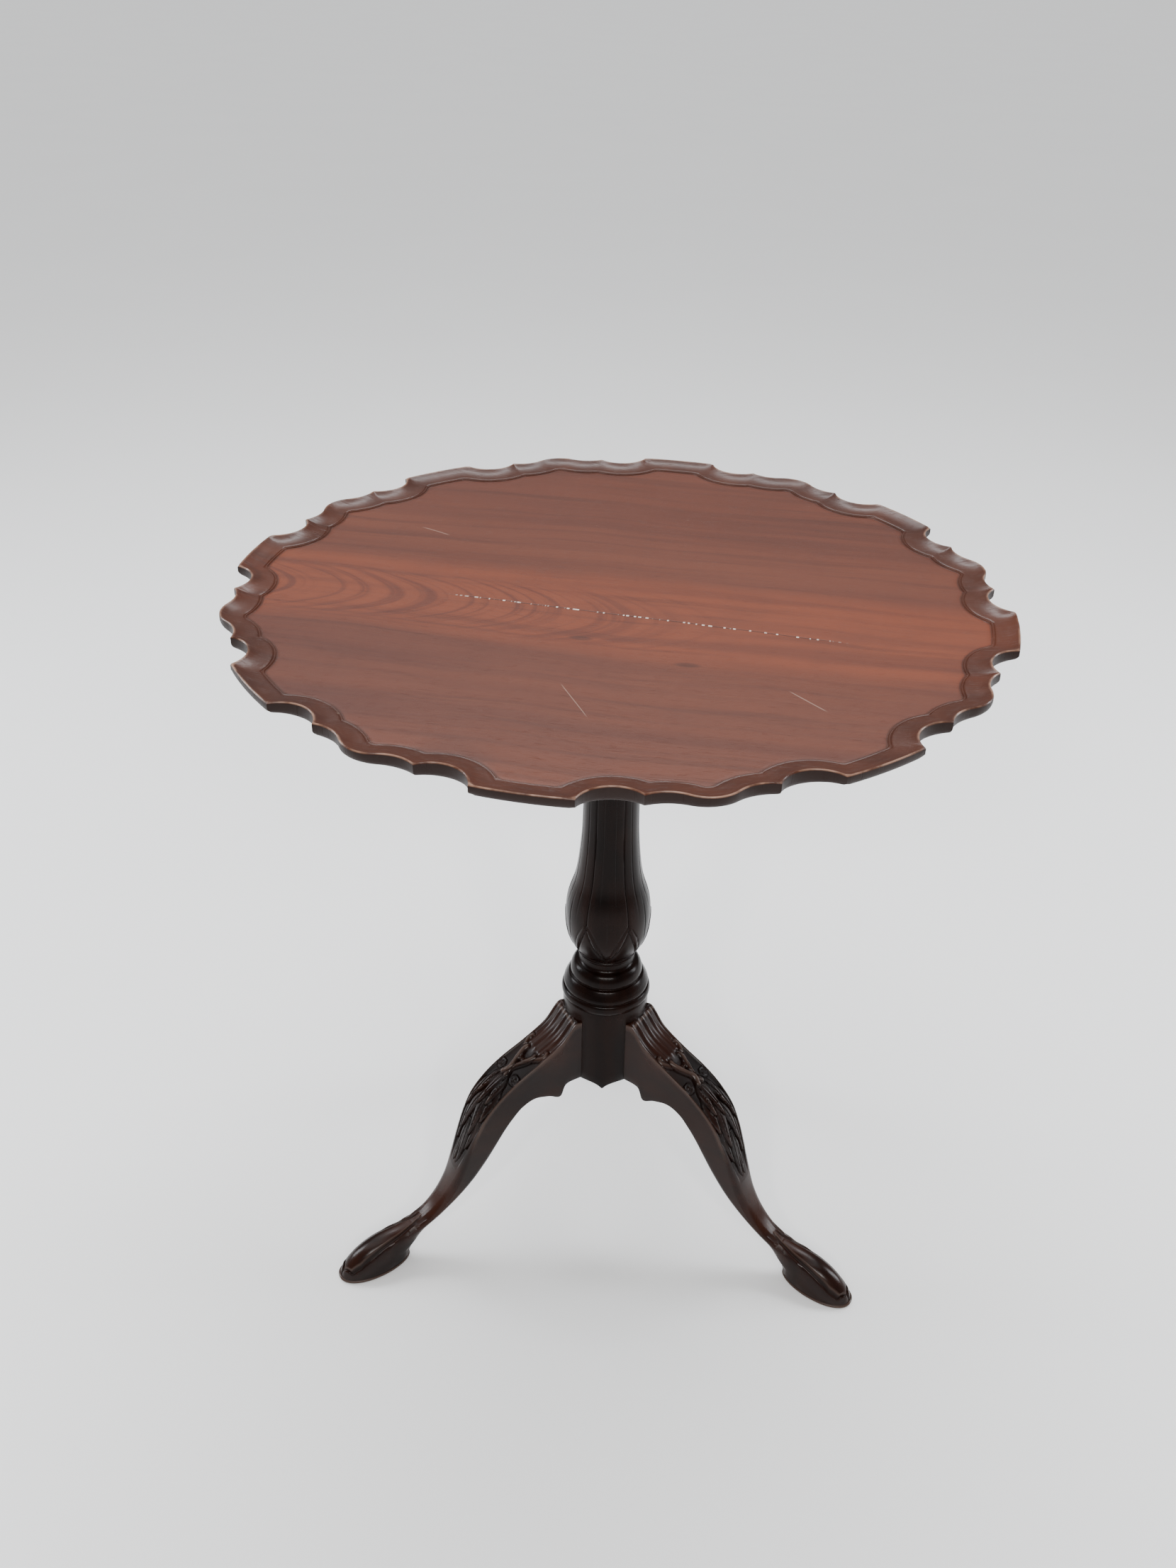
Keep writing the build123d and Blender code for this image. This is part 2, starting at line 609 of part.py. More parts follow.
def make_catch_knob():
    """Turned brass thumb knob on its stem, under the bolt."""
    low = BOLT_BOTTOM - COVER_WALL - STEM_LENGTH - KNOB_HEIGHT
    neck = low + KNOB_HEIGHT
    ball = ThreePointArc((0, low), (KNOB_RADIUS, low + 0.45 * KNOB_HEIGHT), (STEM_RADIUS, neck - 1))
    stem = Polyline(ball @ 1, (STEM_RADIUS, BOLT_BOTTOM), (0, BOLT_BOTTOM), (0, low))
    profile = make_face(Plane.XZ * Wire([ball, *stem.edges()]))
    return Pos(0, STEM_Y, 0) * revolve(profile, Axis.Z)


def make_catch_spring():
    """Bowed friction spring between the plate and the bolt: feet up on the plate, flat middle down."""
    half = SPRING_LENGTH / 2
    flat = half - SPRING_FOOT
    bow = flat - SPRING_RAMP
    drop = SPRING_ROOM - SPRING_THICKNESS - SPRING_SLACK
    seat = UNDERSIDE - CATCH_PLATE
    upper = [(-half, 0), (-flat, 0), (-bow, -drop), (bow, -drop), (flat, 0), (half, 0)]
    lower = [(y, z - SPRING_THICKNESS) for y, z in reversed(upper)]
    middle = BOLT_TIP + BOLT_LENGTH / 2 - BOLT_TRAVEL / 2
    profile = Polyline(*[(middle + y, seat + z) for y, z in upper + lower], close=True)
    return extrude(Plane.YZ * make_face(profile), SPRING_WIDTH / 2, both=True)


def make_parts():
    """Every separate piece, by name."""
    parts = {
        "tabletop": make_tabletop(),
        "bearer_left": make_bearer(-1),
        "bearer_right": make_bearer(1),
        "bearer_screws_left": make_bearer_screws(-1),
        "bearer_screws_right": make_bearer_screws(1),
        "pivot_block": make_pivot_block(),
        "column": make_column(),
        "column_wedge": make_wedge(),
        "brace_plate": make_brace_plate(),
        "catch_plate": make_catch_plate(),
        "catch_cover": make_catch_cover(),
        "catch_spring": make_catch_spring(),
        "catch_bolt": make_catch_bolt(),
        "catch_knob": make_catch_knob(),
        "strike_plate": make_strike_plate(),
    }
    brace_screw = screw(BRACE_SCREW, BRACE_SCREW_LENGTH)
    parts["brace_screws"] = Compound([frame * brace_screw for frame in brace_screw_frames()])
    catch_screw = Pos(0, 0, catch_screw_seat()) * screw(CATCH_SCREW, CATCH_SCREW_LENGTH)
    parts["catch_screws"] = Compound([Pos(x, y, 0) * catch_screw for x, y in catch_screw_places()])
    strike_screw = screw(CATCH_SCREW, STRIKE_SCREW_LENGTH)
    parts["strike_screws"] = Compound([strike_screw_frame(x) * strike_screw for x in strike_screw_places()])
    leg = make_leg()
    for name, angle in zip(LEG_NAMES, LEG_ANGLES):
        parts[name] = Rot(0, 0, angle) * leg
    return parts


os.makedirs("parts", exist_ok=True)
for name, shape in make_parts().items():
    export_step(shape, f"parts/{name}.step")
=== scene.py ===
from math import cos, pi, radians, sin, sqrt

import bpy
import numpy as np
from mathutils import Matrix, Vector


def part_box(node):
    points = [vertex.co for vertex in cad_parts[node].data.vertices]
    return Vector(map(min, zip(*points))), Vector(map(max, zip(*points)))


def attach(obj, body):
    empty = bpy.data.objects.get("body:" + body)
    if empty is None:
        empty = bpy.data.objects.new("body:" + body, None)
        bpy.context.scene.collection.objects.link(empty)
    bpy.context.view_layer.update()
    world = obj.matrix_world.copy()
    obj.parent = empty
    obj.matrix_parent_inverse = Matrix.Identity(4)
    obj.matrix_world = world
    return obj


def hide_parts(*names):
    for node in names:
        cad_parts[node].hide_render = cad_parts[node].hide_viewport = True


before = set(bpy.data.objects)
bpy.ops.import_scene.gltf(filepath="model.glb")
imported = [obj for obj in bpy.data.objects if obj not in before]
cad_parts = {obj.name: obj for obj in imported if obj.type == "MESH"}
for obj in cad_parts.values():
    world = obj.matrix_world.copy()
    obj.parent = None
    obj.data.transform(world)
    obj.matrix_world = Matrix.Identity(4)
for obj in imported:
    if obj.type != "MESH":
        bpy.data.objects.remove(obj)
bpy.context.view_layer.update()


# Tabletop: one dished mahogany board, its scalloped edge sawn out and its rim carved up from the
# solid. The rim is a narrow crest at the outer edge, painted lighter for wear and as a painted
# highlight line, a long shallow cove inside it and a fine step down to the field. The underside
# is turned off to a thin rounded edge.

MM_PER_M = 1000
TOP_RADIUS = 0.332
SCALLOPS = 8
SCALLOP_PHASE = radians(34.83)
PITCH = 2 * pi / SCALLOPS

# Points of half a scallop: degrees from the middle of its lobe, and depth inside the corners
CORNER = (6.27, 0.0)
HOLLOW = (10.07, 0.018)
CUSP = (14.2, 0.0083)
DIP = (16.5, 0.0116)
SWELL = (19.5, 0.00645)
CREST = (22.5, 0.0013)
LOBE_STEPS = 9
HOLLOW_STEPS = 30
WAVE_STEPS = 22
WAVE_EASE = 1.15
HALVINGS = 26

top_low, top_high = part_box("tabletop")
UNDERSIDE = top_low.z
CREST_HEIGHT = top_high.z
DISH_DEPTH = 0.006
FIELD_SAG = 0.0002
BEVEL_START = 0.272
BEVEL_RISE = 0.011
BEVEL_ROUND = 0.004
UNDERSIDE_RINGS = (0.04, 0.12, 0.20, BEVEL_START - BEVEL_ROUND, BEVEL_START + BEVEL_ROUND, 0.285, 0.295)
SHARP_EDGE = radians(38)

# Edge, from the bevel up to the crest: inset from the outline and rise above the bevel
EDGE_ROUND = ((0.0032, 0.0002), (0.0019, 0.0009), (0.0009, 0.0020), (0.0003, 0.0034), (0.0, 0.0048))
EDGE_TOP = 0.0014
# Rim, from the outline in to the field: inset, drop from the crest and share of the crest's lighter colour,
# which is wear and a painted highlight line
RIM_PROFILE = (
    (0.0002, 0.0006, 0.7), (0.0007, 0.0000, 1.0), (0.0013, 0.0002, 0.5), (0.0023, 0.0008, 0.0),
    (0.0045, 0.0020, 0.0), (0.0070, 0.0031, 0.0), (0.0100, 0.0039, 0.0), (0.0130, 0.0044, 0.0),
    (0.0160, 0.0047, 0.0), (0.0182, 0.0048, 0.0), (0.0188, 0.0050, 0.0), (0.0194, 0.0057, 0.0),
    (0.0201, 0.0053, 0.0), (0.0209, 0.0053, 0.0), (0.0216, 0.0061, 0.0), (0.0223, 0.0061, 0.0),
)
RIM_WIDTH = 0.0232
FIELD_RINGS = (0.985, 0.96, 0.92, 0.86, 0.78, 0.68, 0.56, 0.44, 0.32, 0.20, 0.08)


def rim_point(angle, depth):
    """Point of the scalloped outline: degrees from a lobe's middle, and depth inside the corners."""
    r = TOP_RADIUS - depth
    return np.array([r * cos(radians(angle)), r * sin(radians(angle))])


def circle_through(a, b, c):
    """Centre and radius of the circle through three points."""
    rows = 2 * np.array([b - a, c - a])
    centre = np.linalg.solve(rows, [b @ b - a @ a, c @ c - a @ a])
    return centre, np.linalg.norm(a - centre)


def scallop_arcs():
    """Arcs of half a scallop, from a lobe's middle to a crest: centre, radius, ends and last angle."""
    corner, cusp, swell = rim_point(*CORNER), rim_point(*CUSP), rim_point(*SWELL)
    far_swell = rim_point(2 * CREST[0] - SWELL[0], SWELL[1])
    lobe = circle_through(rim_point(-CORNER[0], 0), rim_point(0, 0), corner)
    hollow = circle_through(corner, rim_point(*HOLLOW), cusp)
    dip = circle_through(cusp, rim_point(*DIP), swell)
    crest = circle_through(swell, rim_point(*CREST), far_swell)
    return [
        (*lobe, rim_point(-CORNER[0], 0), corner, CORNER[0]),
        (*hollow, corner, cusp, CUSP[0]),
        (*dip, cusp, swell, SWELL[0]),
        (*crest, swell, far_swell, CREST[0]),
    ]


ARCS = scallop_arcs()


def outline_radius(angle):
    """Radius of the scalloped outline at an angle in degrees from a lobe's middle, up to a crest."""
    ray = np.array([cos(radians(angle)), sin(radians(angle))])
    for centre, radius, _, _, last_angle in ARCS:
        if angle <= last_angle + 1e-9:
            along = ray @ centre
            root = sqrt(max(along ** 2 - centre @ centre + radius ** 2, 0))
            hollowed = np.linalg.norm(centre) > TOP_RADIUS
            return along - root if hollowed else along + root
    return TOP_RADIUS


def distance_to_outline(points):
    """Distance of each point from the scalloped outline, over the arcs of the nearby scallops."""
    best = np.ones(len(points))
    for turn in (-1, 0, 1):
        c, s = cos(turn * PITCH), sin(turn * PITCH)
        local = points @ np.array([[c, s], [-s, c]]).T
        for flip in (1, -1):
            q = local * np.array([1, flip])
            for centre, radius, start, end, _ in ARCS:
                middle = (start - centre) + (end - centre)
                middle /= np.linalg.norm(middle)
                span = ((start - centre) / radius) @ middle
                offset = q - centre
                length = np.linalg.norm(offset, axis=1)
                inside = (offset @ middle) >= span * length
                ends = np.minimum(np.linalg.norm(q - start, axis=1), np.linalg.norm(q - end, axis=1))
                best = np.minimum(best, np.where(inside, np.abs(length - radius), ends))
    return best


def inset_radii(angles, inset):
    """Radius, at each angle, of the line that lies a distance inside the outline."""
    rays = np.array([[cos(radians(a)), sin(radians(a))] for a in angles])
    high = np.array([outline_radius(a) for a in angles])
    if inset <= 0:
        return high
    low = high - 3 * inset - 0.02
    for _ in range(HALVINGS):
        middle = (low + high) / 2
        far = distance_to_outline(rays * middle[:, None]) >= inset
        low = np.where(far, middle, low)
        high = np.where(far, high, middle)
    return low


def half_scallop_angles():
    """Sample angles from a lobe's middle to a crest, closer together at corners and cusps."""
    lobe = [CORNER[0] * k / LOBE_STEPS for k in range(LOBE_STEPS)]
    ease = [0.5 - 0.5 * cos(pi * k / HOLLOW_STEPS) for k in range(HOLLOW_STEPS)]
    hollow = [CORNER[0] + (CUSP[0] - CORNER[0]) * t for t in ease]
    ease = [(k / WAVE_STEPS) ** WAVE_EASE for k in range(WAVE_STEPS + 1)]
    wave = [CUSP[0] + (CREST[0] - CUSP[0]) * t for t in ease]
    return lobe + hollow + wave


def round_the_top(half):
    """Repeats a half scallop's values, mirrored, round the whole top."""
    return np.tile(np.concatenate([half[:-1], half[::-1][:-1]]), SCALLOPS)


def grid_mesh(name, grid, attributes, caps):
    """Mesh through rows of points that close on themselves, with a fan over each row named in caps.

    A cap is a row and whether its fan runs forward. Each attribute has a value for every point.
    """
    rows, columns = grid.shape[:2]
    vertices = [tuple(p) for p in grid.reshape(-1, 3)]
    faces = []
    for i in range(rows - 1):
        for j in range(columns):
            k = (j + 1) % columns
            faces.append((i * columns + j, i * columns + k, (i + 1) * columns + k, (i + 1) * columns + j))
    for row, forward in caps:
        middle = len(vertices)
        vertices.append(tuple(grid[row].mean(axis=0)))
        for j in range(columns):
            a, b = row * columns + j, row * columns + (j + 1) % columns
            faces.append((a, b, middle) if forward else (b, a, middle))
    mesh = bpy.data.meshes.new(name)
    mesh.from_pydata(vertices, [], faces)
    for label, values in attributes.items():
        values = np.array(values, float)
        middles = [values[row].mean() for row, forward in caps]
        filled = np.concatenate([values.reshape(-1), middles])
        mesh.attributes.new(label, "FLOAT", "POINT").data.foreach_set("value", filled.astype(np.float32))
    mesh.validate()
    mesh.shade_smooth()
    mesh.set_sharp_from_angle(angle=SHARP_EDGE)
    piece = bpy.data.objects.new(name, mesh)
    bpy.context.scene.collection.objects.link(piece)
    return piece


def build_tabletop():
    """Rings from the middle of the underside, round the edge and over the rim to the field."""
    half = half_scallop_angles()
    per_half = len(half) - 1
    count = 2 * per_half * SCALLOPS
    turns = np.zeros(count)
    for j in range(count):
        scallop, step = divmod(j, 2 * per_half)
        local = half[step] if step <= per_half else 2 * CREST[0] - half[2 * per_half - step]
        turns[j] = SCALLOP_PHASE + scallop * PITCH + radians(local)
    cos_t, sin_t = np.cos(turns), np.sin(turns)

    def bevel(radius):
        return UNDERSIDE + BEVEL_RISE * np.clip((radius - BEVEL_START) / (TOP_RADIUS - BEVEL_START), 0, 1)

    rows, rim, crest, edge = [], [], [], []

    def ring(radius, height, rim_value=0.0, crest_value=0.0, edge_value=0.0):
        radius = np.broadcast_to(radius, (count,))
        height = np.broadcast_to(height, (count,))
        rows.append(np.stack([radius * cos_t, radius * sin_t, height], axis=1))
        rim.append(np.full(count, rim_value))
        crest.append(np.full(count, crest_value))
        edge.append(np.full(count, edge_value))

    # painted shade: the edge values mark the underside, bevel and outer wall, which the finish darkens
    # towards near black
    for radius in UNDERSIDE_RINGS:
        ring(radius, bevel(radius), 0.6, 0.0, 0.7)
    for inset in (0.009, 0.005):
        radii = round_the_top(inset_radii(half, inset))
        ring(radii, bevel(radii), 0.8, 0.0, 0.9)
    foot = bevel(round_the_top(inset_radii(half, EDGE_ROUND[0][0])))
    for inset, rise in EDGE_ROUND:
        ring(round_the_top(inset_radii(half, inset)), foot + rise, 1.0, 0.0, 1.0)
    ring(round_the_top(inset_radii(half, 0.0)), CREST_HEIGHT - EDGE_TOP, 1.0, 0.0, 1.0)
    # painted highlight and wear: the crest rows carry the share of the crest's lighter colour
    for inset, drop, wear_and_highlight in RIM_PROFILE:
        ring(round_the_top(inset_radii(half, inset)), CREST_HEIGHT - drop, 1.0, wear_and_highlight)
    field = round_the_top(inset_radii(half, RIM_WIDTH))
    ring(field, CREST_HEIGHT - DISH_DEPTH, 0.5)
    for share in FIELD_RINGS:
        ring(field * share, CREST_HEIGHT - DISH_DEPTH - FIELD_SAG * (1 - share ** 2))
    caps = ((0, False), (len(rows) - 1, True))
    return grid_mesh("mahogany_top", np.array(rows), {"rim": rim, "crest": crest, "edge": edge}, caps)


class Value:
    """A shader socket that does arithmetic: an expression on values adds its Math nodes."""

    def __init__(self, finish, socket):
        self.finish = finish
        self.socket = socket

    def math(self, operation, other=0.0):
        return self.finish.node("ShaderNodeMath", "Value", {"operation": operation}, {0: self, 1: other})

    def __add__(self, other):
        return self.math("ADD", other)

    __radd__ = __add__

    def __mul__(self, other):
        return self.math("MULTIPLY", other)

    __rmul__ = __mul__

    def __sub__(self, other):
        return self.math("SUBTRACT", other)

    def __rsub__(self, other):
        return self * -1.0 + other

    def __abs__(self):
        return self.math("ABSOLUTE")

    def step(self, low, high):
        """0 at low and 1 at high, smooth between; high may be the smaller of the two."""
        ends = {"Value": self, "From Min": min(low, high), "From Max": max(low, high)}
        rise = self.finish.node("ShaderNodeMapRange", "Result", {"interpolation_type": "SMOOTHSTEP"}, ends)
        return rise if high > low else 1.0 - rise


class Finish:
    """A surface finish: a Principled material whose inputs are worked out from values."""

    def __init__(self, name):
        self.material = bpy.data.materials.new(name)
        self.material.use_nodes = True
        self.tree = self.material.node_tree
        self.place = self.node("ShaderNodeTexCoord", "Object")

    def fill(self, node, sockets):
        for key, given in sockets.items():
            if isinstance(given, Value):
                self.tree.links.new(given.socket, node.inputs[key])
            else:
                node.inputs[key].default_value = given

    def node(self, kind, output, settings=None, sockets=None):
        """Adds a node with its settings and its sockets' values or links; gives one output, or several."""
        node = self.tree.nodes.new(kind)
        for key, setting in (settings or {}).items():
            setattr(node, key, setting)
        self.fill(node, sockets or {})
        if isinstance(output, tuple):
            return [Value(self, node.outputs[name]) for name in output]
        return Value(self, node.outputs[output])

    def attribute(self, name):
        return self.node("ShaderNodeAttribute", "Fac", {"attribute_name": name})

    def turned(self, angle):
        """The object's own coordinates, turned about Z, as three values."""
        sockets = {"Vector": self.place, "Rotation": (0, 0, angle)}
        turned = self.node("ShaderNodeMapping", "Vector", {}, sockets)
        return self.node("ShaderNodeSeparateXYZ", ("X", "Y", "Z"), {}, {"Vector": turned})

    def noise(self, x, y, z, detail=3.0, roughness=0.5):
        """Noise over a space stretched by the three values given."""
        space = self.node("ShaderNodeCombineXYZ", "Vector", {}, {"X": x, "Y": y, "Z": z})
        sockets = {"Vector": space, "Scale": 1.0, "Detail": detail, "Roughness": roughness}
        return self.node("ShaderNodeTexNoise", "Fac", {}, sockets)

    def mix(self, factor, first, second):
        """Colour between two colours, each a value or three numbers."""
        pair = {6: first, 7: second}
        for key, colour in pair.items():
            pair[key] = colour if isinstance(colour, Value) else (*colour, 1.0)
        return self.node("ShaderNodeMix", 2, {"data_type": "RGBA"}, {0: factor, **pair})

    def bump(self, height, strength, distance):
        sockets = {"Height": height, "Strength": strength, "Distance": distance}
        return self.node("ShaderNodeBump", "Normal", {}, sockets)

    def surface(self, sockets):
        self.fill(self.tree.nodes["Principled BSDF"], sockets)
        return self.material


GRAIN_TURN = radians(9)
# Scratches: middle along and across the grain, and slope. Knots: middle along and across.
SCRATCHES = ((0.0, -0.186, -1.6), (-0.19, 0.105, -0.5), (0.17, -0.150, -0.8))
SCRATCH_HALF_LENGTH = 0.016
KNOTS = ((0.075, -0.110), (-0.015, -0.082))
KNOT_FLATNESS = 6.0


def old_mahogany_top():
    """Faded, polished mahogany: cathedral figure, a redder band, pores, a glue line, a crest painted lighter
    as wear and painted highlight, and painted shade on the outer wall and underside.
    """
    f = Finish("old_mahogany_top")
    along, across, _ = f.turned(GRAIN_TURN)
    waver = f.noise(along * 3.2, across * 3.2, 0.0, 2.0) - 0.5
    across = across + waver * 0.045
    slow = f.noise(along * 1.5, across * 11.0, 0.3, 3.0, 0.55)
    streaks = f.noise(along * 2.4, across * 75.0, 0.0, 5.0, 0.62)
    hairs = f.noise(along * 7.0, across * 420.0, 0.0, 4.0, 0.6)
    pores = f.noise(along * 60.0, across * 1500.0, 0.0, 2.0).step(0.60, 0.74)
    mottle = f.noise(along * 14.0, across * 14.0, 0.0, 4.0, 0.6)
    off_pith = across + 0.045
    arch = along + off_pith * off_pith * 26.0 + waver * 0.05
    rings = f.noise(arch * 62.0, across * 3.0, 0.0, 3.0, 0.65)
    band = abs(across + 0.012 + slow * 0.05).step(0.085, 0.045)
    cathedral = along.step(0.16, -0.10) * band * abs(off_pith).step(0.060, 0.035)
    shade = f.noise(along * 0.8, across * 24.0, 7.0, 2.0)
    colour = f.mix(slow.step(0.30, 0.72), (0.0737, 0.0178, 0.0080), (0.1024, 0.0257, 0.0109))
    colour = f.mix(band * 0.85, colour, (0.1506, 0.0325, 0.0106))
    colour = f.mix(rings.step(0.44, 0.62) * cathedral * 0.75, colour, (0.0684, 0.0140, 0.0059))
    colour = f.mix(shade.step(0.50, 0.64) * 0.45, colour, (0.0530, 0.0125, 0.0062))
    colour = f.mix(streaks.step(0.46, 0.74) * 0.50, colour, (0.0385, 0.0093, 0.0047))
    colour = f.mix(hairs.step(0.52, 0.80) * 0.30, colour, (0.1509, 0.0435, 0.0176))
    colour = f.mix(mottle.step(0.45, 0.75) * 0.16, colour, (0.0467, 0.0138, 0.0077))
    colour = f.mix(pores * 0.45, colour, (0.0216, 0.0055, 0.0027))
    drift = (f.noise(along * 9.0, 0.0, 0.0, 2.0) - 0.5) * 0.006
    split = abs(across - waver * 0.045 + along * 0.053 + 0.038 + drift)
    edge = f.attribute("edge")
    upper_face = edge.step(0.5, 0.1)
    stretch = along.step(-0.15, -0.10) * along.step(0.20, 0.16) * upper_face
    crack = split.step(0.0011, 0.0003) * stretch
    crumbs = f.noise(along * 320.0, along * 21.0, 3.0, 1.0).step(0.54, 0.62)
    chalk = split.step(0.0016, 0.0005) * stretch * crumbs
    colour = f.mix(crack * 0.65, colour, (0.0162, 0.0046, 0.0024))
    colour = f.mix(chalk * 0.9, colour, (0.62, 0.52, 0.46))
    stain = f.noise(along * 5.0, across * 9.0, 4.0, 2.0).step(0.70, 0.78)
    colour = f.mix(stain * 0.25, colour, (0.0305, 0.0083, 0.0043))
    for place, offset, slope in SCRATCHES:
        beside = along - place
        line = abs(across - offset - beside * slope).step(0.0012, 0.0003)
        scratch = line * abs(beside).step(SCRATCH_HALF_LENGTH, 0.010)
        colour = f.mix(scratch * upper_face * 0.30, colour, (0.42, 0.30, 0.24))
    for place, offset in KNOTS:
        beside, aslant = along - place, across - offset
        knot = (beside * beside + aslant * aslant * KNOT_FLATNESS).step(0.00016, 0.00002)
        colour = f.mix(knot * upper_face * 0.55, colour, (0.0280, 0.0078, 0.0042))
    specks = f.noise(along * 70.0, across * 95.0, 2.0, 1.0).step(0.80, 0.83)
    colour = f.mix(specks * upper_face * 0.6, colour, (0.55, 0.42, 0.34))
    rim = f.attribute("rim")
    crest = f.attribute("crest")
    dirt = f.noise(along * 26.0, across * 26.0, 1.0, 4.0, 0.6)
    rim_colour = f.mix(dirt.step(0.35, 0.7), (0.0251, 0.0083, 0.0045), (0.0449, 0.0141, 0.0072))
    colour = f.mix(rim.step(0.3, 1.0) * 0.68, colour, rim_colour)
    # painted highlight and wear: lighter patches along the crest stand for its rubbed edge and the bright
    # highlight line on it
    crest_rub_and_glint = f.noise(along * 45.0, across * 45.0, 6.0, 3.0, 0.6)
    colour = f.mix(crest * crest_rub_and_glint.step(0.35, 0.62) * 0.75, colour, (0.40, 0.24, 0.17))
    # painted shade: the outer wall and underside are darkened to near black, where shade falls on them
    colour = f.mix(edge, colour, (0.0120, 0.0036, 0.0020))
    smear = f.noise(along * 4.0, across * 6.0, 9.0, 4.0, 0.6)
    gloss = smear * 0.20 + 0.36 + pores * 0.12 + chalk * 0.3 - rim * 0.16 + edge * 0.22
    ripple = f.noise(along * 3.0, across * 16.0, 0.0, 2.0)
    relief = streaks * 0.25 + hairs * 0.30 - pores * 0.9 - crack * 1.6 + ripple * 1.2 + dirt * rim * 0.8
    sockets = {"Base Color": colour, "Roughness": gloss, "Normal": f.bump(relief, 0.35, 0.0006)}
    return f.surface({**sockets, "Specular IOR Level": 0.22})


top = build_tabletop()
top.data.materials.append(old_mahogany_top())
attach(top, "top")
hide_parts("tabletop")


# Bearers: two mahogany battens across the grain under the board. They are screwed up into it
# from pockets, and the block's pintles turn in their blind holes.


def underside_mahogany(name, dark, light, turn):
    """Unpolished mahogany of hidden parts: dry, dusty and open-grained."""
    f = Finish(name)
    along, across, up = f.turned(turn)
    streaks = f.noise(along * 5.0, across * 95.0, up * 95.0, 4.0, 0.6)
    hairs = f.noise(along * 30.0, across * 600.0, up * 600.0, 3.0, 0.6)
    grime = f.noise(along * 18.0, across * 18.0, up * 18.0, 4.0, 0.6)
    colour = f.mix(streaks.step(0.3, 0.7), dark, light)
    colour = f.mix(hairs.step(0.55, 0.75) * 0.4, colour, (0.03, 0.014, 0.009))
    colour = f.mix(grime.step(0.5, 0.75) * 0.35, colour, (0.05, 0.035, 0.028))
    relief = streaks * 0.4 + hairs * 0.5
    gloss = grime * 0.2 + 0.5
    return f.surface({"Base Color": colour, "Roughness": gloss, "Normal": f.bump(relief, 0.4, 0.0005)})


def dress(node, material):
    """Gives a piece that keeps its own shape its finish."""
    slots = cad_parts[node].material_slots
    if slots:
        for slot in slots:
            slot.material = material
    else:
        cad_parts[node].data.materials.append(material)


bearer_wood = underside_mahogany("bearer_mahogany", (0.060, 0.028, 0.018), (0.120, 0.056, 0.034), pi / 2)
dress("bearer_left", bearer_wood)
dress("bearer_right", bearer_wood)


def old_metal(name, clean, tarnish, metallic, gloss, grain):
    """Old worked metal: bright where it is rubbed, dull and pitted elsewhere."""
    f = Finish(name)
    x, y, z = f.turned(0)
    patches = f.noise(x * grain, y * grain, z * grain, 5.0, 0.65)
    pits = f.noise(x * grain * 9, y * grain * 9, z * grain * 9, 3.0, 0.6)
    dull = patches.step(0.40, 0.66)
    colour = f.mix(dull, clean, tarnish)
    colour = f.mix(pits.step(0.62, 0.75) * 0.5, colour, (0.02, 0.016, 0.012))
    sockets = {
        "Base Color": colour,
        "Metallic": metallic - dull * 0.25,
        "Roughness": dull * 0.25 + gloss,
        "Normal": f.bump(pits * 0.6 + patches * 0.4, 0.3, 0.0003),
    }
    return f.surface(sockets)


screw_steel = old_metal("old_screw_steel", (0.16, 0.15, 0.14), (0.055, 0.040, 0.030), 0.95, 0.38, 300)
dress("bearer_screws_left", screw_steel)
dress("bearer_screws_right", screw_steel)


# Slide catch: a cast and filed brass bolt with a turned knob. It runs in a folded brass cover over
# a brass plate screwed under the board, and a leaf spring holds it out into the strike.

aged_brass = old_metal("aged_brass", (0.55, 0.36, 0.13), (0.17, 0.105, 0.045), 1.0, 0.28, 120)
for node in ("catch_plate", "catch_cover", "catch_spring", "catch_bolt", "catch_knob", "catch_screws"):
    dress(node, aged_brass)


# Pivot block: a thick mahogany block on the column's through tenon, which an oak wedge spreads.
# Its turned pintles are the hinge, and a brass strike plate on its back edge takes the bolt.

block_wood = underside_mahogany("block_mahogany", (0.050, 0.023, 0.014), (0.105, 0.047, 0.028), 0)
dress("pivot_block", block_wood)
dress("column_wedge", underside_mahogany("wedge_oak", (0.16, 0.095, 0.048), (0.26, 0.17, 0.09), 0))
dress("strike_plate", aged_brass)
dress("strike_screws", aged_brass)


# Column: one turned and carved piece of dense dark mahogany. A plain drum takes the legs, with an
# arched lower edge between them. Stacked rings lead to a leaf-carved vase, a tapering shaft and a
# capital under the block.

DRUM_RADIUS = 0.043
DRUM_RECESS_RADIUS = 0.034
DRUM_RECESS_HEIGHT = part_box("brace_plate")[1].z
TENON_RADIUS = 0.020
LEG_PHASE = radians(89.34)
LEG_COUNT = 3
COLUMN_STEPS = 288
EDGE_BREAK = 0.0010
VASE_LEAVES = 6
VASE_GIRTH = 0.035
GROOVE_DEPTH = 0.0011
block_low, block_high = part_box("pivot_block")
LEG_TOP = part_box("leg_back")[1].z
DRUM_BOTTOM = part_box("column")[0].z

# Turned outline above the drum: radius and height above the legs, in millimetres
TURNING = (
    (43.0, 0.4), (43.0, 14.4), (42.5, 15.0), (42.8, 15.8), (43.9, 17.4), (44.5, 19.6), (44.6, 21.8),
    (44.0, 24.2), (43.0, 26.0), (41.8, 26.7), (41.8, 27.6), (42.4, 28.6), (42.5, 30.4), (42.0, 32.2),
    (41.2, 34.0), (40.2, 36.2), (38.8, 38.6), (37.6, 40.4), (36.6, 41.2), (35.4, 41.5), (35.0, 42.2),
    (35.6, 43.2), (35.9, 44.8), (35.8, 46.8), (35.3, 49.0), (34.4, 51.4), (33.2, 53.6), (31.8, 55.4),
    (30.2, 56.6),
    (28.8, 57.2), (27.2, 58.6), (26.2, 60.8), (25.9, 63.4), (26.2, 65.8), (27.2, 67.4), (28.6, 67.9),
    (29.1, 68.6), (29.1, 69.6), (28.5, 70.3),
)
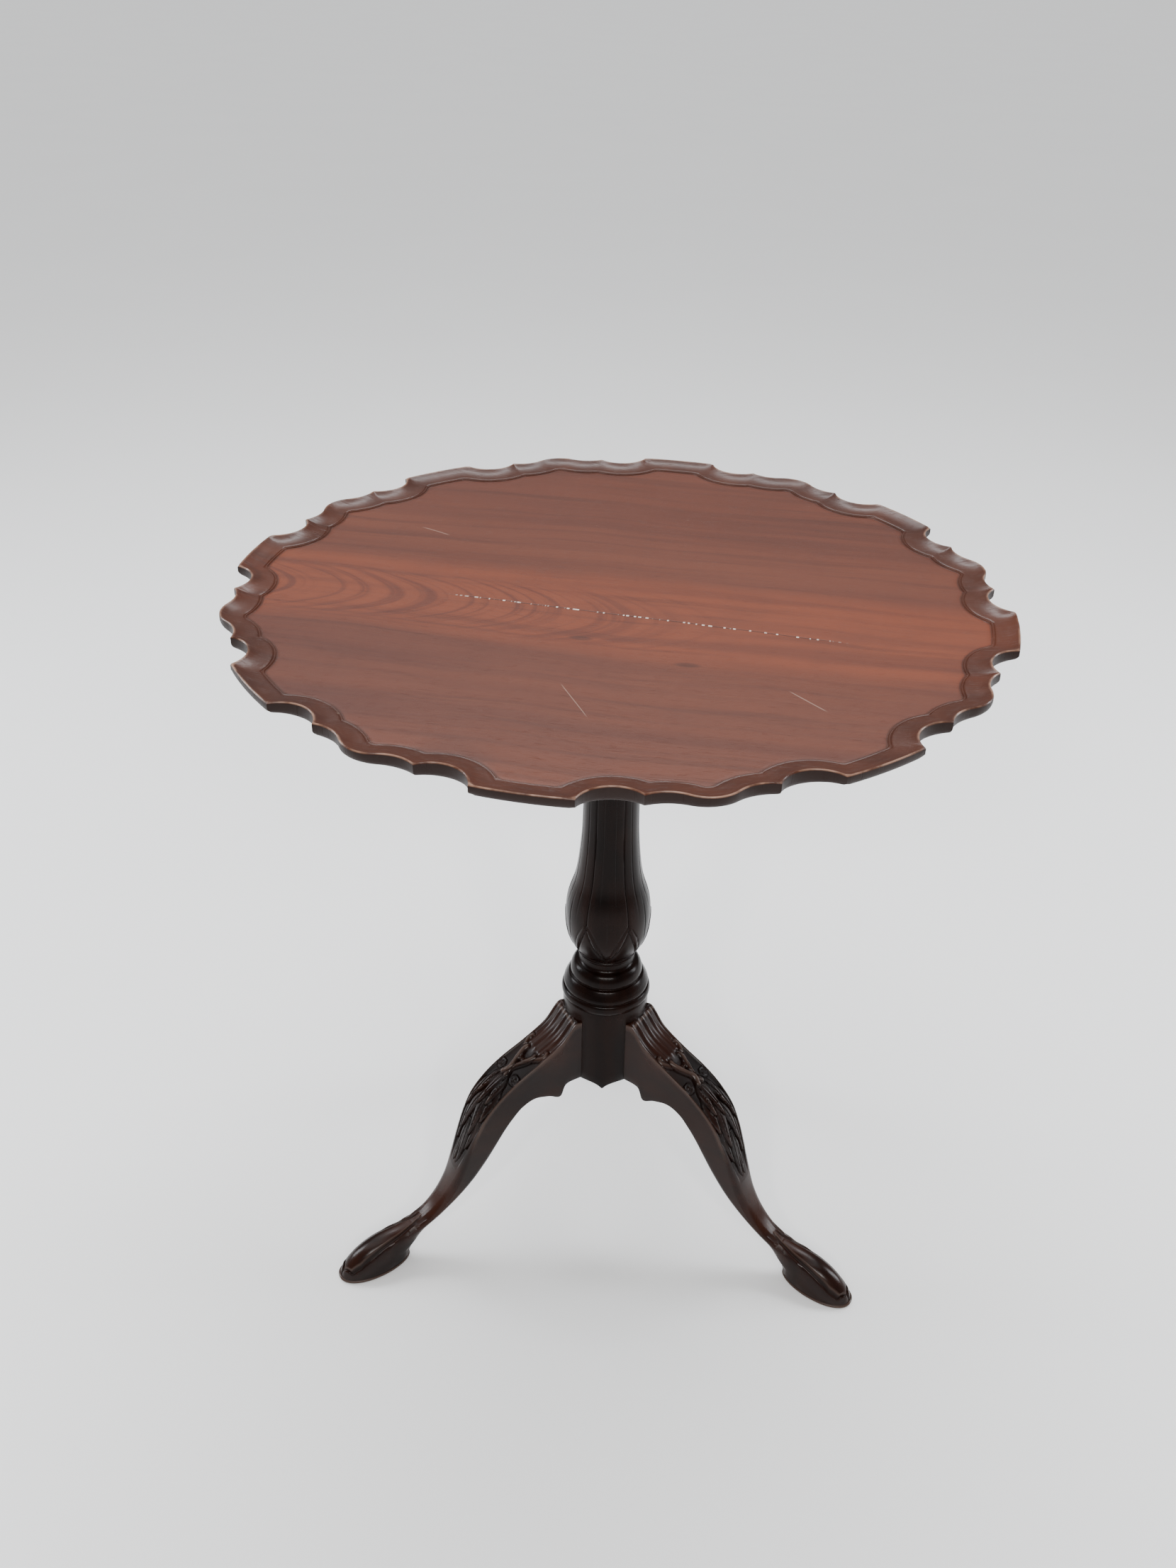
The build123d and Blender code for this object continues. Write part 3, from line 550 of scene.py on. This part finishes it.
VASE = (
    (28.4, 71.0), (30.0, 73.4), (32.4, 77.0), (35.9, 84.0), (38.6, 91.0), (40.3, 98.0), (41.1, 105.0),
    (41.5, 112.0), (41.5, 119.0), (41.0, 126.0), (40.0, 133.0), (38.4, 140.0), (36.3, 147.0),
    (34.2, 153.5), (32.5, 160.0), (31.2, 167.0), (30.2, 174.0), (29.4, 181.0), (28.7, 188.0),
    (28.1, 195.0), (27.5, 203.0), (27.0, 211.0), (26.7, 219.0), (26.4, 235.0), (26.0, 265.0),
    (25.6, 300.0), (25.0, 340.0), (24.0, 374.0),
)
CAPITAL = (
    (24.2, -30.0), (26.6, -29.4), (28.8, -27.6), (29.8, -25.0), (28.8, -22.4), (26.6, -20.6), (25.0, -20.0),
    (25.2, -17.0), (26.2, -13.5), (28.0, -10.0), (30.6, -7.4), (33.6, -5.8), (34.6, -5.2), (35.0, -4.6),
    (35.0, -0.4), (34.6, 0.0),
)


def smooth_path(points, steps):
    """Catmull-Rom curve through points, with so many steps between each pair."""
    points = np.array(points, float)
    ends = np.vstack([2 * points[0] - points[1], points, 2 * points[-1] - points[-2]])
    out = []
    for a, b, c, d in zip(ends, ends[1:], ends[2:], ends[3:]):
        for k in range(steps):
            t = k / steps
            out.append(0.5 * (2 * b + (c - a) * t + (2 * a - 5 * b + 4 * c - d) * t ** 2
                              + (3 * b - a - 3 * c + d) * t ** 3))
    return np.array(out + [points[-1]])


def ridge(distance, width):
    """Smooth ridge across a distance: 1 in the middle, 0 from a width on."""
    return np.clip(1 - (distance / width) ** 2, 0, 1) ** 2


def vase_carving(turn, height):
    """Depth of the vase's shallow carving: strap leaves from above and cup leaves from the neck."""
    sector = 2 * pi / VASE_LEAVES
    own = np.abs((turn + pi / 2 + sector / 2) % sector - sector / 2)
    other = sector / 2 - own
    upper_tip = np.clip((height - 0.078) / 0.040, 0, 1)
    upper_half = sector / 2 * upper_tip ** 0.62
    lower_tip = np.clip((0.122 - height) / 0.050, 0, 1)
    lower_half = sector / 2 * lower_tip ** 0.7
    fade_top = np.clip((0.330 - height) / 0.12, 0, 1)
    fade_bottom = np.clip((height - 0.0715) / 0.010, 0, 1)
    edge = VASE_GIRTH * np.abs(own - upper_half)
    groove = -GROOVE_DEPTH * ridge(edge, 0.0013) * (height > 0.078)
    crown = 0.0005 * np.clip(1 - own / np.maximum(upper_half, 1e-3), 0, 1) ** 0.5
    under = np.where(own > upper_half, -0.0008, 0.0)
    cup_edge = VASE_GIRTH * np.abs(other - lower_half)
    cup = np.where(other < lower_half, 0.0006, 0.0) - 0.0008 * ridge(cup_edge, 0.0012) * (height < 0.124)
    side_vein = -0.0004 * ridge(VASE_GIRTH * (own - 0.22), 0.0009) * np.clip((height - 0.12) / 0.03, 0, 1)
    low_down = np.clip((0.16 - height) / 0.03, 0, 1) * (height > 0.095)
    middle_vein = -0.0005 * ridge(VASE_GIRTH * own, 0.0008) * low_down
    return (groove + crown + under + cup + side_vein + middle_vein) * fade_top * fade_bottom


def drum_edge(turn):
    """Height of the drum's lower edge: two arches and a pointed pendant in each bay."""
    bay = 2 * pi / LEG_COUNT
    off = np.abs((turn - LEG_PHASE) % bay - bay / 2) * DRUM_RADIUS
    heights = (0.3, 1.4, 4.2, 6.2, 7.8, 8.6, 8.8, 8.8)
    places = (0.0, 0.0012, 0.0040, 0.0075, 0.0120, 0.0170, 0.0205, 0.0260)
    return DRUM_BOTTOM + np.interp(off, places, heights) / MM_PER_M


def build_column():
    """Revolved rows from the drum's recess, round its arched edge and up to the top of the tenon."""
    turn = np.arange(COLUMN_STEPS) * 2 * pi / COLUMN_STEPS
    rows, carved = [], []

    def ring(radius, height, carve=0.0):
        radius = np.broadcast_to(radius, turn.shape)
        height = np.broadcast_to(height, turn.shape)
        rows.append(np.stack([radius * np.cos(turn), radius * np.sin(turn), height], axis=1))
        carved.append(np.broadcast_to(carve, turn.shape))

    edge = drum_edge(turn)
    ring(0.010, DRUM_RECESS_HEIGHT)
    ring(DRUM_RECESS_RADIUS - 0.0005, DRUM_RECESS_HEIGHT)
    ring(DRUM_RECESS_RADIUS, np.minimum(edge, DRUM_RECESS_HEIGHT - 0.0003))
    ring(DRUM_RADIUS - EDGE_BREAK, edge)
    ring(DRUM_RADIUS - 0.0003, edge + 0.0002)
    ring(DRUM_RADIUS, edge + EDGE_BREAK)
    for share in (0.15, 0.35, 0.6, 0.85):
        ring(DRUM_RADIUS, edge + (LEG_TOP - edge) * share)
    for radius, height in smooth_path(TURNING, 2):
        ring(radius / MM_PER_M, LEG_TOP + height / MM_PER_M)
    for radius, height in smooth_path(VASE, 4):
        # painted shade: the sunk share of the vase carving goes into the hollow attribute, which the finish
        # darkens
        depth = vase_carving(turn, height / MM_PER_M)
        sunk = np.clip(-depth / GROOVE_DEPTH, 0, 1)
        ring(radius / MM_PER_M + depth, LEG_TOP + height / MM_PER_M, sunk)
    for radius, height in smooth_path(CAPITAL, 2):
        ring(radius / MM_PER_M, block_low.z + height / MM_PER_M)
    ring(TENON_RADIUS, block_low.z + 0.0001)
    ring(TENON_RADIUS, block_high.z - 0.0006)
    ring(TENON_RADIUS - 0.0004, block_high.z - 0.0001)
    caps = ((0, False), (len(rows) - 1, True))
    return grid_mesh("carved_column", np.array(rows), {"hollow": carved}, caps)


def dark_polished_mahogany(name, grain, dark, brown, red, shine):
    """Old dark mahogany under many coats of wax: painted shade in the carved hollows, lighter wear and
    painted highlight on edges.

    Grain stretches the figure along X, Y and Z, and red is the share of redder patches.
    """
    f = Finish(name)
    x, y, z = f.turned(0)
    streaks = f.noise(x * grain[0], y * grain[1], z * grain[2], 4.0, 0.6)
    hairs = f.noise(x * grain[0] * 7, y * grain[1] * 7, z * grain[2] * 7, 3.0, 0.6)
    patches = f.noise(x * 9.0, y * 9.0, z * 9.0, 4.0, 0.6)
    hollow = f.attribute("hollow")
    wear_and_highlight = f.attribute("wear_and_highlight")
    colour = f.mix(streaks.step(0.35, 0.7), dark, brown)
    colour = f.mix(patches.step(0.42, 0.68) * red, colour, (0.031, 0.0088, 0.0042))
    colour = f.mix(hairs.step(0.6, 0.8) * 0.3, colour, (0.003, 0.0013, 0.0008))
    # painted highlight and wear: raised carving, arrises and foot edges are lightened towards a pale
    # grey-brown
    colour = f.mix(wear_and_highlight * 0.5, colour, (0.105, 0.070, 0.056))
    # painted shade: carved hollows and grooves are darkened to near black
    colour = f.mix(hollow * 0.5, colour, (0.003, 0.0014, 0.001))
    gloss = patches * 0.16 + 0.17 + hollow * 0.25
    relief = streaks * 0.5 + hairs * 0.35 + patches * 0.6
    sockets = {"Base Color": colour, "Roughness": gloss, "Normal": f.bump(relief, 0.3, 0.0005)}
    return f.surface({**sockets, "Specular IOR Level": shine})


column = build_column()
column_wood = dark_polished_mahogany(
    "column_mahogany", (60, 60, 6), (0.0022, 0.0008, 0.0005), (0.0068, 0.0022, 0.0012), 0.15, 0.10
)
column.data.materials.append(column_wood)
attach(column, "stand")
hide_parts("column")


# Legs: three cabriole legs sawn from thick mahogany, dovetailed up into the drum. Shoulder and knee
# are carved with shallow flutes, crossed scrolls and leaves that fall down the shin. The plain
# rounded ankle runs out over a long pad foot with a raised tongue between grooves.

LEG_NODES = ("leg_back", "leg_left", "leg_right")
BRACE_FLOOR = DRUM_RECESS_HEIGHT + 0.0002
CHANNEL_END = 0.0574
CHANNEL_HALF = 0.0094

# Side outline of the leg in millimetres: top line and underside, each rib joining the same places
TOP_LINE = (
    (37.0, 262.0), (44.8, 260.6), (60.0, 242.0), (84.0, 227.0), (110.0, 213.0), (130.0, 198.0),
    (146.0, 180.0), (156.0, 160.0), (164.0, 138.0), (172.0, 113.0), (181.0, 88.0), (193.0, 68.0),
    (208.0, 52.5), (224.0, 44.0),
)
UNDER_LINE = (
    (37.0, 187.6), (54.0, 184.6), (61.0, 170.4), (74.0, 176.2), (90.0, 180.2), (104.0, 174.5),
    (115.0, 162.0), (124.0, 147.0), (133.0, 128.0), (142.0, 109.0), (156.0, 86.0), (172.0, 67.5),
    (193.0, 49.0), (212.0, 36.0),
)
# Half width, rounding of the upper corners, rounding of the lower corners and crown, at the same places
SECTIONS = (
    (21.0, 0.7, 0.8, 0.6), (21.0, 0.7, 0.8, 0.8), (21.0, 0.7, 0.8, 1.4), (21.2, 0.7, 0.8, 2.4),
    (21.8, 0.7, 0.9, 3.4), (22.0, 0.8, 1.0, 4.0), (21.6, 1.0, 1.4, 4.2), (20.4, 1.6, 2.2, 4.0),
    (18.6, 3.0, 3.4, 3.4), (16.6, 5.0, 5.0, 2.6), (14.6, 6.5, 6.5, 1.6), (13.0, 7.2, 7.2, 1.0),
    (12.0, 7.2, 7.2, 0.8), (11.6, 6.8, 6.8, 0.8),
)
# Foot, going on from the ankle: top point, heel point, half width and how far the section is an oval
FOOT_SECTIONS = (
    (224.0, 44.0, 212.0, 36.0, 11.6, 0.0), (238.0, 41.2, 219.5, 28.0, 12.3, 0.3),
    (252.0, 39.4, 224.0, 20.5, 13.4, 0.6), (265.0, 36.6, 226.5, 15.0, 14.7, 0.85),
    (277.0, 31.6, 227.6, 11.0, 16.0, 1.0), (287.0, 25.0, 228.0, 8.2, 17.3, 1.0),
    (295.0, 17.2, 228.2, 6.4, 18.3, 1.0), (300.5, 9.8, 228.4, 5.2, 18.8, 1.0),
    (302.6, 5.4, 228.6, 4.4, 18.9, 1.0),
)
PAD_LOOPS = (
    (303.0, 3.9, 228.7, 3.9, 19.0), (304.2, 3.6, 228.3, 3.6, 19.6), (304.9, 2.9, 228.0, 2.9, 19.95),
    (305.0, 2.0, 228.0, 2.0, 20.0), (304.7, 1.0, 228.3, 1.0, 19.8), (304.0, 0.3, 229.0, 0.3, 19.2),
    (303.0, 0.0, 230.0, 0.0, 18.4), (290.0, 0.0, 240.0, 0.0, 10.0),
)
# painted highlight and wear on the pad's rounded edge, loop by loop
PAD_WEAR_AND_HIGHLIGHT = (0.2, 0.7, 1.0, 1.0, 0.6, 0.2, 0.0, 0.0)
TONGUE_PLACES = (212, 224, 238, 252, 268, 284, 294, 299.5)
TONGUE_HALF_WIDTHS = (2.0, 4.6, 7.4, 9.4, 11.4, 12.0, 9.6, 0.0)
HEEL_NARROWING = 0.22
RIB_STEPS = 32
FOOT_STEPS = 8
FOOT_START = 204
PAD_EDGE = 3.6
CARVED_LENGTH = 222
CARVED_GROUND = 2.4
SPINE_POINTS = 26

# Kinds of column round a section: the carved face, its corners, the plain sides and the underside
FACE, ARRIS, SIDE, UNDER = 1.0, 0.5, 0.0, -1.0
FACE_TURN = pi / 2.6
SIDE_TURN = pi * 0.86
FACE_COLUMNS = 64
CORNER_COLUMNS = 4
SIDE_COLUMNS = 10
UNDER_COLUMNS = 20


def bezier(points, count):
    """Points along a Bezier curve of three or four controls."""
    t = np.linspace(0, 1, count)[:, None]
    points = [np.array(p, float) for p in points]
    while len(points) > 1:
        points = [(1 - t) * a + t * b for a, b in zip(points, points[1:])]
    return points[0]


def along_stroke(places, controls):
    """For each place: how far along a stroke its nearest point is, from 0 to 1, and how far off."""
    spine = bezier(controls, SPINE_POINTS)
    gaps = places[:, None, :] - spine[None, :, :]
    nearest = np.argmin((gaps ** 2).sum(axis=2), axis=1)
    near = spine[nearest]
    tangent = np.gradient(spine, axis=0)[nearest]
    tangent /= np.linalg.norm(tangent, axis=1)[:, None]
    offset = places - near
    ahead = (offset * tangent).sum(axis=1)
    aside = offset[:, 0] * tangent[:, 1] - offset[:, 1] * tangent[:, 0]
    ending = ((nearest == 0) & (ahead < 0)) | ((nearest == len(spine) - 1) & (ahead > 0))
    distance = np.where(ending, np.linalg.norm(offset, axis=1), np.abs(aside))
    return nearest / (len(spine) - 1), distance


def carve_leaf(height, places, controls, width, rise):
    """Raises a pointed leaf: swelling to its width, veined, its tip lifted and undercut all round."""
    along, distance = along_stroke(places, controls)
    half = width * np.clip(along / 0.35, 0.25, 1) ** 0.7 * np.clip((1 - along) / 0.6, 0, 1) ** 0.7 + 0.2
    share = distance / half
    body = rise * (0.30 + 0.70 * along ** 1.3) * np.clip(1 - 0.6 * share ** 2.5, 0, 1)
    vein = 0.40 * rise * ridge(distance, 0.9) * (along < 0.8)
    undercut = 1.3 * ridge(distance - half - 0.5, 1.3)
    return np.where(share < 1, np.maximum(height, 0.0) * 0.1 + body - vein, height - undercut)


def carve_band(height, places, controls, width, rise):
    """Raises a rounded band with a quirk along both its sides."""
    _, distance = along_stroke(places, controls)
    share = distance / width
    quirk = 0.8 * ridge(distance - width * 1.12, 0.55)
    raised = rise * np.sqrt(np.clip(1 - share ** 2, 0, 1))
    return np.where(share < 1, np.maximum(height * 0.2, 0) + raised, height - quirk)


def carve_curl(height, places, centre, radius):
    """Raises a round curl: a spiral fillet about a small button."""
    offset = places - np.array(centre)
    distance = np.linalg.norm(offset, axis=1)
    angle = np.arctan2(offset[:, 1], offset[:, 0])
    spiral = distance / radius * 1.6 - angle / (2 * pi)
    wave = 0.5 + 0.5 * np.cos(2 * pi * spiral)
    inside = distance < radius
    curl = 0.45 + 1.15 * wave * np.clip(1.15 - distance / radius, 0, 1) ** 0.3
    curl = np.where(distance < radius * 0.24, 1.7 - (distance / radius) ** 2 * 6, curl)
    rim = 0.9 * ridge(distance - radius * 1.08, 0.7)
    return np.where(inside, curl, height - rim)


def knee_carving(places):
    """Height of the carving over a sunk ground, in millimetres, for places along and across the face."""
    mirrored = np.stack([places[:, 0], np.abs(places[:, 1])], axis=1)
    height = (2.0 + 0.4 * np.cos(pi * places[:, 1] / 5.4)) * np.clip((66 - places[:, 0]) / 10, 0, 1)
    tiers = (
        (((160, 1.0), (186, 4.0), (214, 2.4)), 4.6, 2.4),
        (((140, 10.0), (162, 15.0), (192, 9.0)), 4.8, 2.7),
        (((122, 2.0), (146, 8.0), (174, 7.4)), 5.6, 3.0),
        (((104, 8.0), (126, 16.0), (152, 15.6)), 5.6, 3.2),
        (((92, 3.0), (110, 9.5), (132, 10.5)), 5.4, 3.4),
    )
    for controls, width, rise in tiers:
        height = carve_leaf(height, mirrored, controls, width, rise)
    height = carve_leaf(height, places, ((84, 0.0), (108, 0.0), (138, 0.0)), 5.6, 3.2)
    height = carve_curl(height, mirrored, (93, 14.6), 6.0)
    height = carve_band(height, mirrored, ((50, 16.0), (56, 20.5), (66, 10.0), (74, 2.0)), 2.8, 3.0)
    scroll = ((62, 8.5), (78, 9.0), (84, -4.0), (96, 3.5))
    height = carve_band(height, places, scroll, 3.4, 3.0)
    height = carve_band(height, places * np.array([1, -1]), scroll, 3.4, 3.6)
    return height


def tongue_half_width(x):
    """Half width of the foot's raised tongue, from its root on the ankle to its round tip."""
    return np.interp(x, TONGUE_PLACES, TONGUE_HALF_WIDTHS)


def tongue_groove(x, y):
    """Depth of the two grooves on each side of the tongue, in millimetres."""
    start = np.clip((x - TONGUE_PLACES[0]) / 6, 0, 1)
    inner = 2.1 * ridge(np.abs(y) - tongue_half_width(x), 2.0) * start
    outer_line = np.interp(x, (206, 220, 236, 250), (6.4, 8.2, 11.4, 15.0))
    reach = np.clip((x - 206) / 5, 0, 1) * np.clip((254 - x) / 8, 0, 1)
    return inner + 1.5 * ridge(np.abs(y) - outer_line, 1.9) * reach


def section_columns(half, height, upper, lower, crown):
    """A rounded section's outline as across, up and kind, starting on the left of the face."""
    columns = []
    for k in range(FACE_COLUMNS + 1):
        y = (-1 + 2 * k / FACE_COLUMNS) * (half - upper)
        columns.append((y, height - crown * (y / half) ** 2, FACE))
    drop = crown * ((half - upper) / half) ** 2
    for k in range(1, CORNER_COLUMNS + 1):
        turn = pi / 2 * k / CORNER_COLUMNS
        columns.append((half - upper + upper * sin(turn), height - drop - upper * (1 - cos(turn)), ARRIS))
    side_top = height - drop - upper
    for k in range(1, SIDE_COLUMNS + 1):
        columns.append((half, side_top + (lower - side_top) * k / SIDE_COLUMNS, SIDE))
    for k in range(1, CORNER_COLUMNS + 1):
        turn = pi / 2 * k / CORNER_COLUMNS
        columns.append((half - lower * (1 - cos(turn)), lower * (1 - sin(turn)), SIDE))
    for k in range(1, UNDER_COLUMNS):
        columns.append(((half - lower) * (1 - 2 * k / UNDER_COLUMNS), 0.0, UNDER))
    right = columns[FACE_COLUMNS + 1:len(columns) - UNDER_COLUMNS + 1]
    columns += [(-y, up, kind) for y, up, kind in right[::-1]]
    return np.array(columns)


def oval_columns(half, height):
    """An oval section with as many columns as the rounded one, narrower at the heel."""
    face = np.linspace(-FACE_TURN, FACE_TURN, FACE_COLUMNS + 1)
    side_count = 2 * CORNER_COLUMNS + SIDE_COLUMNS
    side = np.linspace(FACE_TURN, SIDE_TURN, side_count + 1)[1:]
    under = np.linspace(SIDE_TURN, 2 * pi - SIDE_TURN, UNDER_COLUMNS + 1)[1:-1]
    turn = np.concatenate([face, side, under, -side[::-1]])
    narrowing = 1 - HEEL_NARROWING * ((1 - np.cos(turn)) / 2) ** 2
    across = half * narrowing * np.sign(np.sin(turn)) * np.abs(np.sin(turn)) ** 0.9
    up = height / 2 * (1 + np.sign(np.cos(turn)) * np.abs(np.cos(turn)) ** 0.95)
    return np.stack([across, up], axis=1)


def build_leg(name):
    """Ribs from the drum down to the sole, in the leg's own frame, with the carving raised on the face."""
    leg = np.hstack([smooth_path(part, RIB_STEPS) for part in (TOP_LINE, UNDER_LINE, SECTIONS)])
    foot = smooth_path(FOOT_SECTIONS, FOOT_STEPS)[1:]
    pad = np.array(PAD_LOOPS)
    plain = np.zeros((len(foot) + len(pad), 8))
    plain[:len(foot), :5] = foot[:, :5]
    plain[len(foot):, :5] = pad
    plain[:, 5:] = SECTIONS[-1][1:]
    ribs = np.vstack([leg, plain])
    oval = np.concatenate([np.zeros(len(leg)), np.clip(foot[:, 5], 0, 1), np.ones(len(pad))])
    tops = ribs[:, :2]
    length = np.concatenate([[0], np.cumsum(np.linalg.norm(np.diff(tops, axis=0), axis=1))])
    tangent = np.gradient(tops, axis=0)
    tangent /= np.linalg.norm(tangent, axis=1)[:, None]
    rows, kinds = [], []
    for (top_x, top_z, under_x, under_z, half, round_up, round_down, crown), share in zip(ribs, oval):
        line = np.array([top_x - under_x, top_z - under_z])
        height = np.linalg.norm(line)
        columns = section_columns(half, height, round_up, round_down, crown)
        shape = (1 - share) * columns[:, :2] + share * oval_columns(half, height)
        across, up = shape[:, 0], shape[:, 1] / height
        rows.append(np.stack([under_x + line[0] * up, across, under_z + line[1] * up], axis=1))
        kinds.append(columns[:, 2])
    grid, kinds = np.array(rows), np.array(kinds)
    along = np.broadcast_to(length[:, None], kinds.shape)
    across = np.abs(grid[..., 1])
    places = np.stack([along, grid[..., 1]], axis=2)
    carved = length < CARVED_LENGTH
    carving = np.zeros(kinds.shape)
    carving[carved] = knee_carving(places[carved].reshape(-1, 2)).reshape(carving[carved].shape)
    border = np.clip((ribs[:, 4:5] - ribs[:, 5:6] - 1.0 - across) / 1.6, 0, 1) * (kinds == FACE)
    reach = np.clip((along - 3) / 5, 0, 1) * np.clip((CARVED_LENGTH - 2 - along) / 26, 0, 1)
    relief = (carving - CARVED_GROUND) * border * reach
    normal = np.stack([-tangent[:, 1], np.zeros(len(tangent)), tangent[:, 0]], axis=1)
    normal[normal[:, 2] < -0.3] *= -1
    grid += normal[:, None, :] * relief[..., None]
    on_foot = (kinds != UNDER) & (grid[..., 2] > PAD_EDGE + 1) & (grid[..., 0] > FOOT_START)
    grooves = tongue_groove(grid[..., 0], grid[..., 1]) * on_foot
    lobe = 1.3 * ridge(across - tongue_half_width(grid[..., 0]) - 4.0, 3.2) * on_foot
    lobe *= np.clip((grid[..., 0] - 232) / 14, 0, 1) * np.clip((grid[..., 2] - PAD_EDGE - 1) / 6, 0, 1)
    grid[..., 2] += lobe - grooves
    channel = (kinds == UNDER) & (across < CHANNEL_HALF * MM_PER_M) & (grid[..., 0] < CHANNEL_END * MM_PER_M)
    grid[..., 2] = np.where(channel, np.maximum(grid[..., 2], BRACE_FLOOR * MM_PER_M), grid[..., 2])
    # painted shade: the sunk ground of the carving and the foot's grooves are darkened
    hollow = np.clip((CARVED_GROUND - 0.5 - carving) / 1.4, 0, 1) * border * reach
    hollow = np.maximum(hollow, np.clip(grooves / 1.2, 0, 1) * 0.8)
    # painted highlight and wear: carving tops, arrises, the shoulder line, the tongue's lip and the pad edge
    # get the lighter colour
    arris = ridge(across - ribs[:, 4:5] + 0.4, 1.2) * (kinds >= ARRIS) * np.clip((190 - along) / 30, 0, 1)
    wear_and_highlight = np.maximum(np.clip((carving - CARVED_GROUND) / 1.3, 0, 1) * border * reach, arris * 0.9)
    shoulder = ridge(grid[..., 0] - 45.0, 1.6) * (kinds == FACE) * (grid[..., 2] > 250)
    wear_and_highlight = np.maximum(wear_and_highlight, shoulder)
    lip = ridge(across - tongue_half_width(grid[..., 0]) + 1.7, 1.1) * on_foot * 0.7
    pad_wear_and_highlight = np.concatenate([np.zeros(len(ribs) - len(pad)), PAD_WEAR_AND_HIGHLIGHT])
    wear_and_highlight = np.maximum(np.maximum(wear_and_highlight, lip), pad_wear_and_highlight[:, None])
    attributes = {"hollow": hollow[:, ::-1], "wear_and_highlight": wear_and_highlight[:, ::-1]}
    caps = ((0, True), (len(rows) - 1, False))
    return grid_mesh(name, grid[:, ::-1] / MM_PER_M, attributes, caps)


leg_wood = dark_polished_mahogany(
    "leg_mahogany", (6, 70, 30), (0.0046, 0.0014, 0.0008), (0.0145, 0.0042, 0.0021), 0.8, 0.18
)
for k, node in enumerate(LEG_NODES):
    leg = build_leg("carved_" + node)
    leg.data.materials.append(leg_wood)
    leg.rotation_euler.z = LEG_PHASE + k * 2 * pi / LEG_COUNT
    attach(leg, "stand")
    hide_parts(node)


# Brace: a three-armed wrought iron plate let in under the drum and the leg roots, with four screws.

forged_iron = old_metal("forged_iron", (0.085, 0.078, 0.072), (0.045, 0.028, 0.019), 0.9, 0.5, 90)
dress("brace_plate", forged_iron)
dress("brace_screws", screw_steel)


# Studio: a wide flat pale floor, a soft strip of light high behind the table, a weak one on each
# side, three small lamps high in front, a broad overhead sun as the sky and an even pale surround.

FLOOR_HALF = 90
floor_corners = [(x * FLOOR_HALF, y * FLOOR_HALF, 0) for x, y in ((-1, -1), (1, -1), (1, 1), (-1, 1))]
floor_mesh = bpy.data.meshes.new("studio_floor")
floor_mesh.from_pydata(floor_corners, [], [(0, 1, 2, 3)])
floor = bpy.data.objects.new("studio_floor", floor_mesh)
bpy.context.scene.collection.objects.link(floor)
paper = Finish("pale_paper")
x, y, _ = paper.turned(0)
tone = paper.mix(paper.noise(x * 2, y * 2, 0.0), (0.84, 0.84, 0.84), (0.87, 0.87, 0.87))
floor_mesh.materials.append(paper.surface({"Base Color": tone, "Roughness": 0.85}))

world = bpy.data.worlds.new("studio")
world.use_nodes = True
surround = world.node_tree.nodes["Background"].inputs
surround["Color"].default_value = (0.94, 0.97, 1.0, 1.0)
surround["Strength"].default_value = 0.30
bpy.context.scene.world = world


def soft_light(name, place, aim, size, power, colour):
    """A rectangular area light at a place, turned to face a point."""
    light = bpy.data.lights.new(name, "AREA")
    light.shape = "RECTANGLE"
    light.size, light.size_y = size
    light.energy = power
    light.color = colour
    lamp = bpy.data.objects.new(name, light)
    bpy.context.scene.collection.objects.link(lamp)
    lamp.location = place
    lamp.rotation_euler = (Vector(aim) - Vector(place)).to_track_quat("-Z", "Y").to_euler()


soft_light("overhead_strip", (0.1, 1.45, 2.7), (0, 0.2, 0.6), (2.6, 0.5), 56, (0.96, 0.97, 1.0))
for side in (-1, 1):
    place = (2.4 * side, 0.5, 1.15)
    soft_light(f"side_window_{side + 1}", place, (0, 0, 0.2), (0.5, 1.2), 34, (0.92, 0.96, 1.0))
for step in (-1, 0, 1):
    place = (0.65 * step, -2.3, 2.1)
    soft_light(f"ceiling_lamp_{step + 1}", place, (0, 0, 0.3), (0.22, 0.16), 20, (1.0, 0.98, 0.95))
sky_light = bpy.data.lights.new("overhead", "SUN")
sky_light.energy = 2.6
sky_light.angle = radians(75)
overhead = bpy.data.objects.new("overhead", sky_light)
bpy.context.scene.collection.objects.link(overhead)
overhead.rotation_euler = (radians(-14), radians(-8), 0)

CAMERA_PLACE = (0.0039, -1.0898, 1.2118)
CAMERA_LENS = 32.0
yaw, dip, lean = radians(-1.378), radians(32.313), radians(1.203)
ahead = Vector((sin(yaw) * cos(dip), cos(yaw) * cos(dip), -sin(dip)))
level = Vector((cos(yaw), -sin(yaw), 0))
rise = level.cross(ahead)
right = level * cos(lean) + rise * sin(lean)
above = rise * cos(lean) - level * sin(lean)
camera_data = bpy.data.cameras.new("camera")
camera_data.lens = CAMERA_LENS
camera = bpy.data.objects.new("camera", camera_data)
bpy.context.scene.collection.objects.link(camera)
camera.matrix_world = Matrix((right, above, -ahead)).transposed().to_4x4()
camera.location = CAMERA_PLACE
bpy.context.scene.camera = camera

bpy.context.view_layer.update()
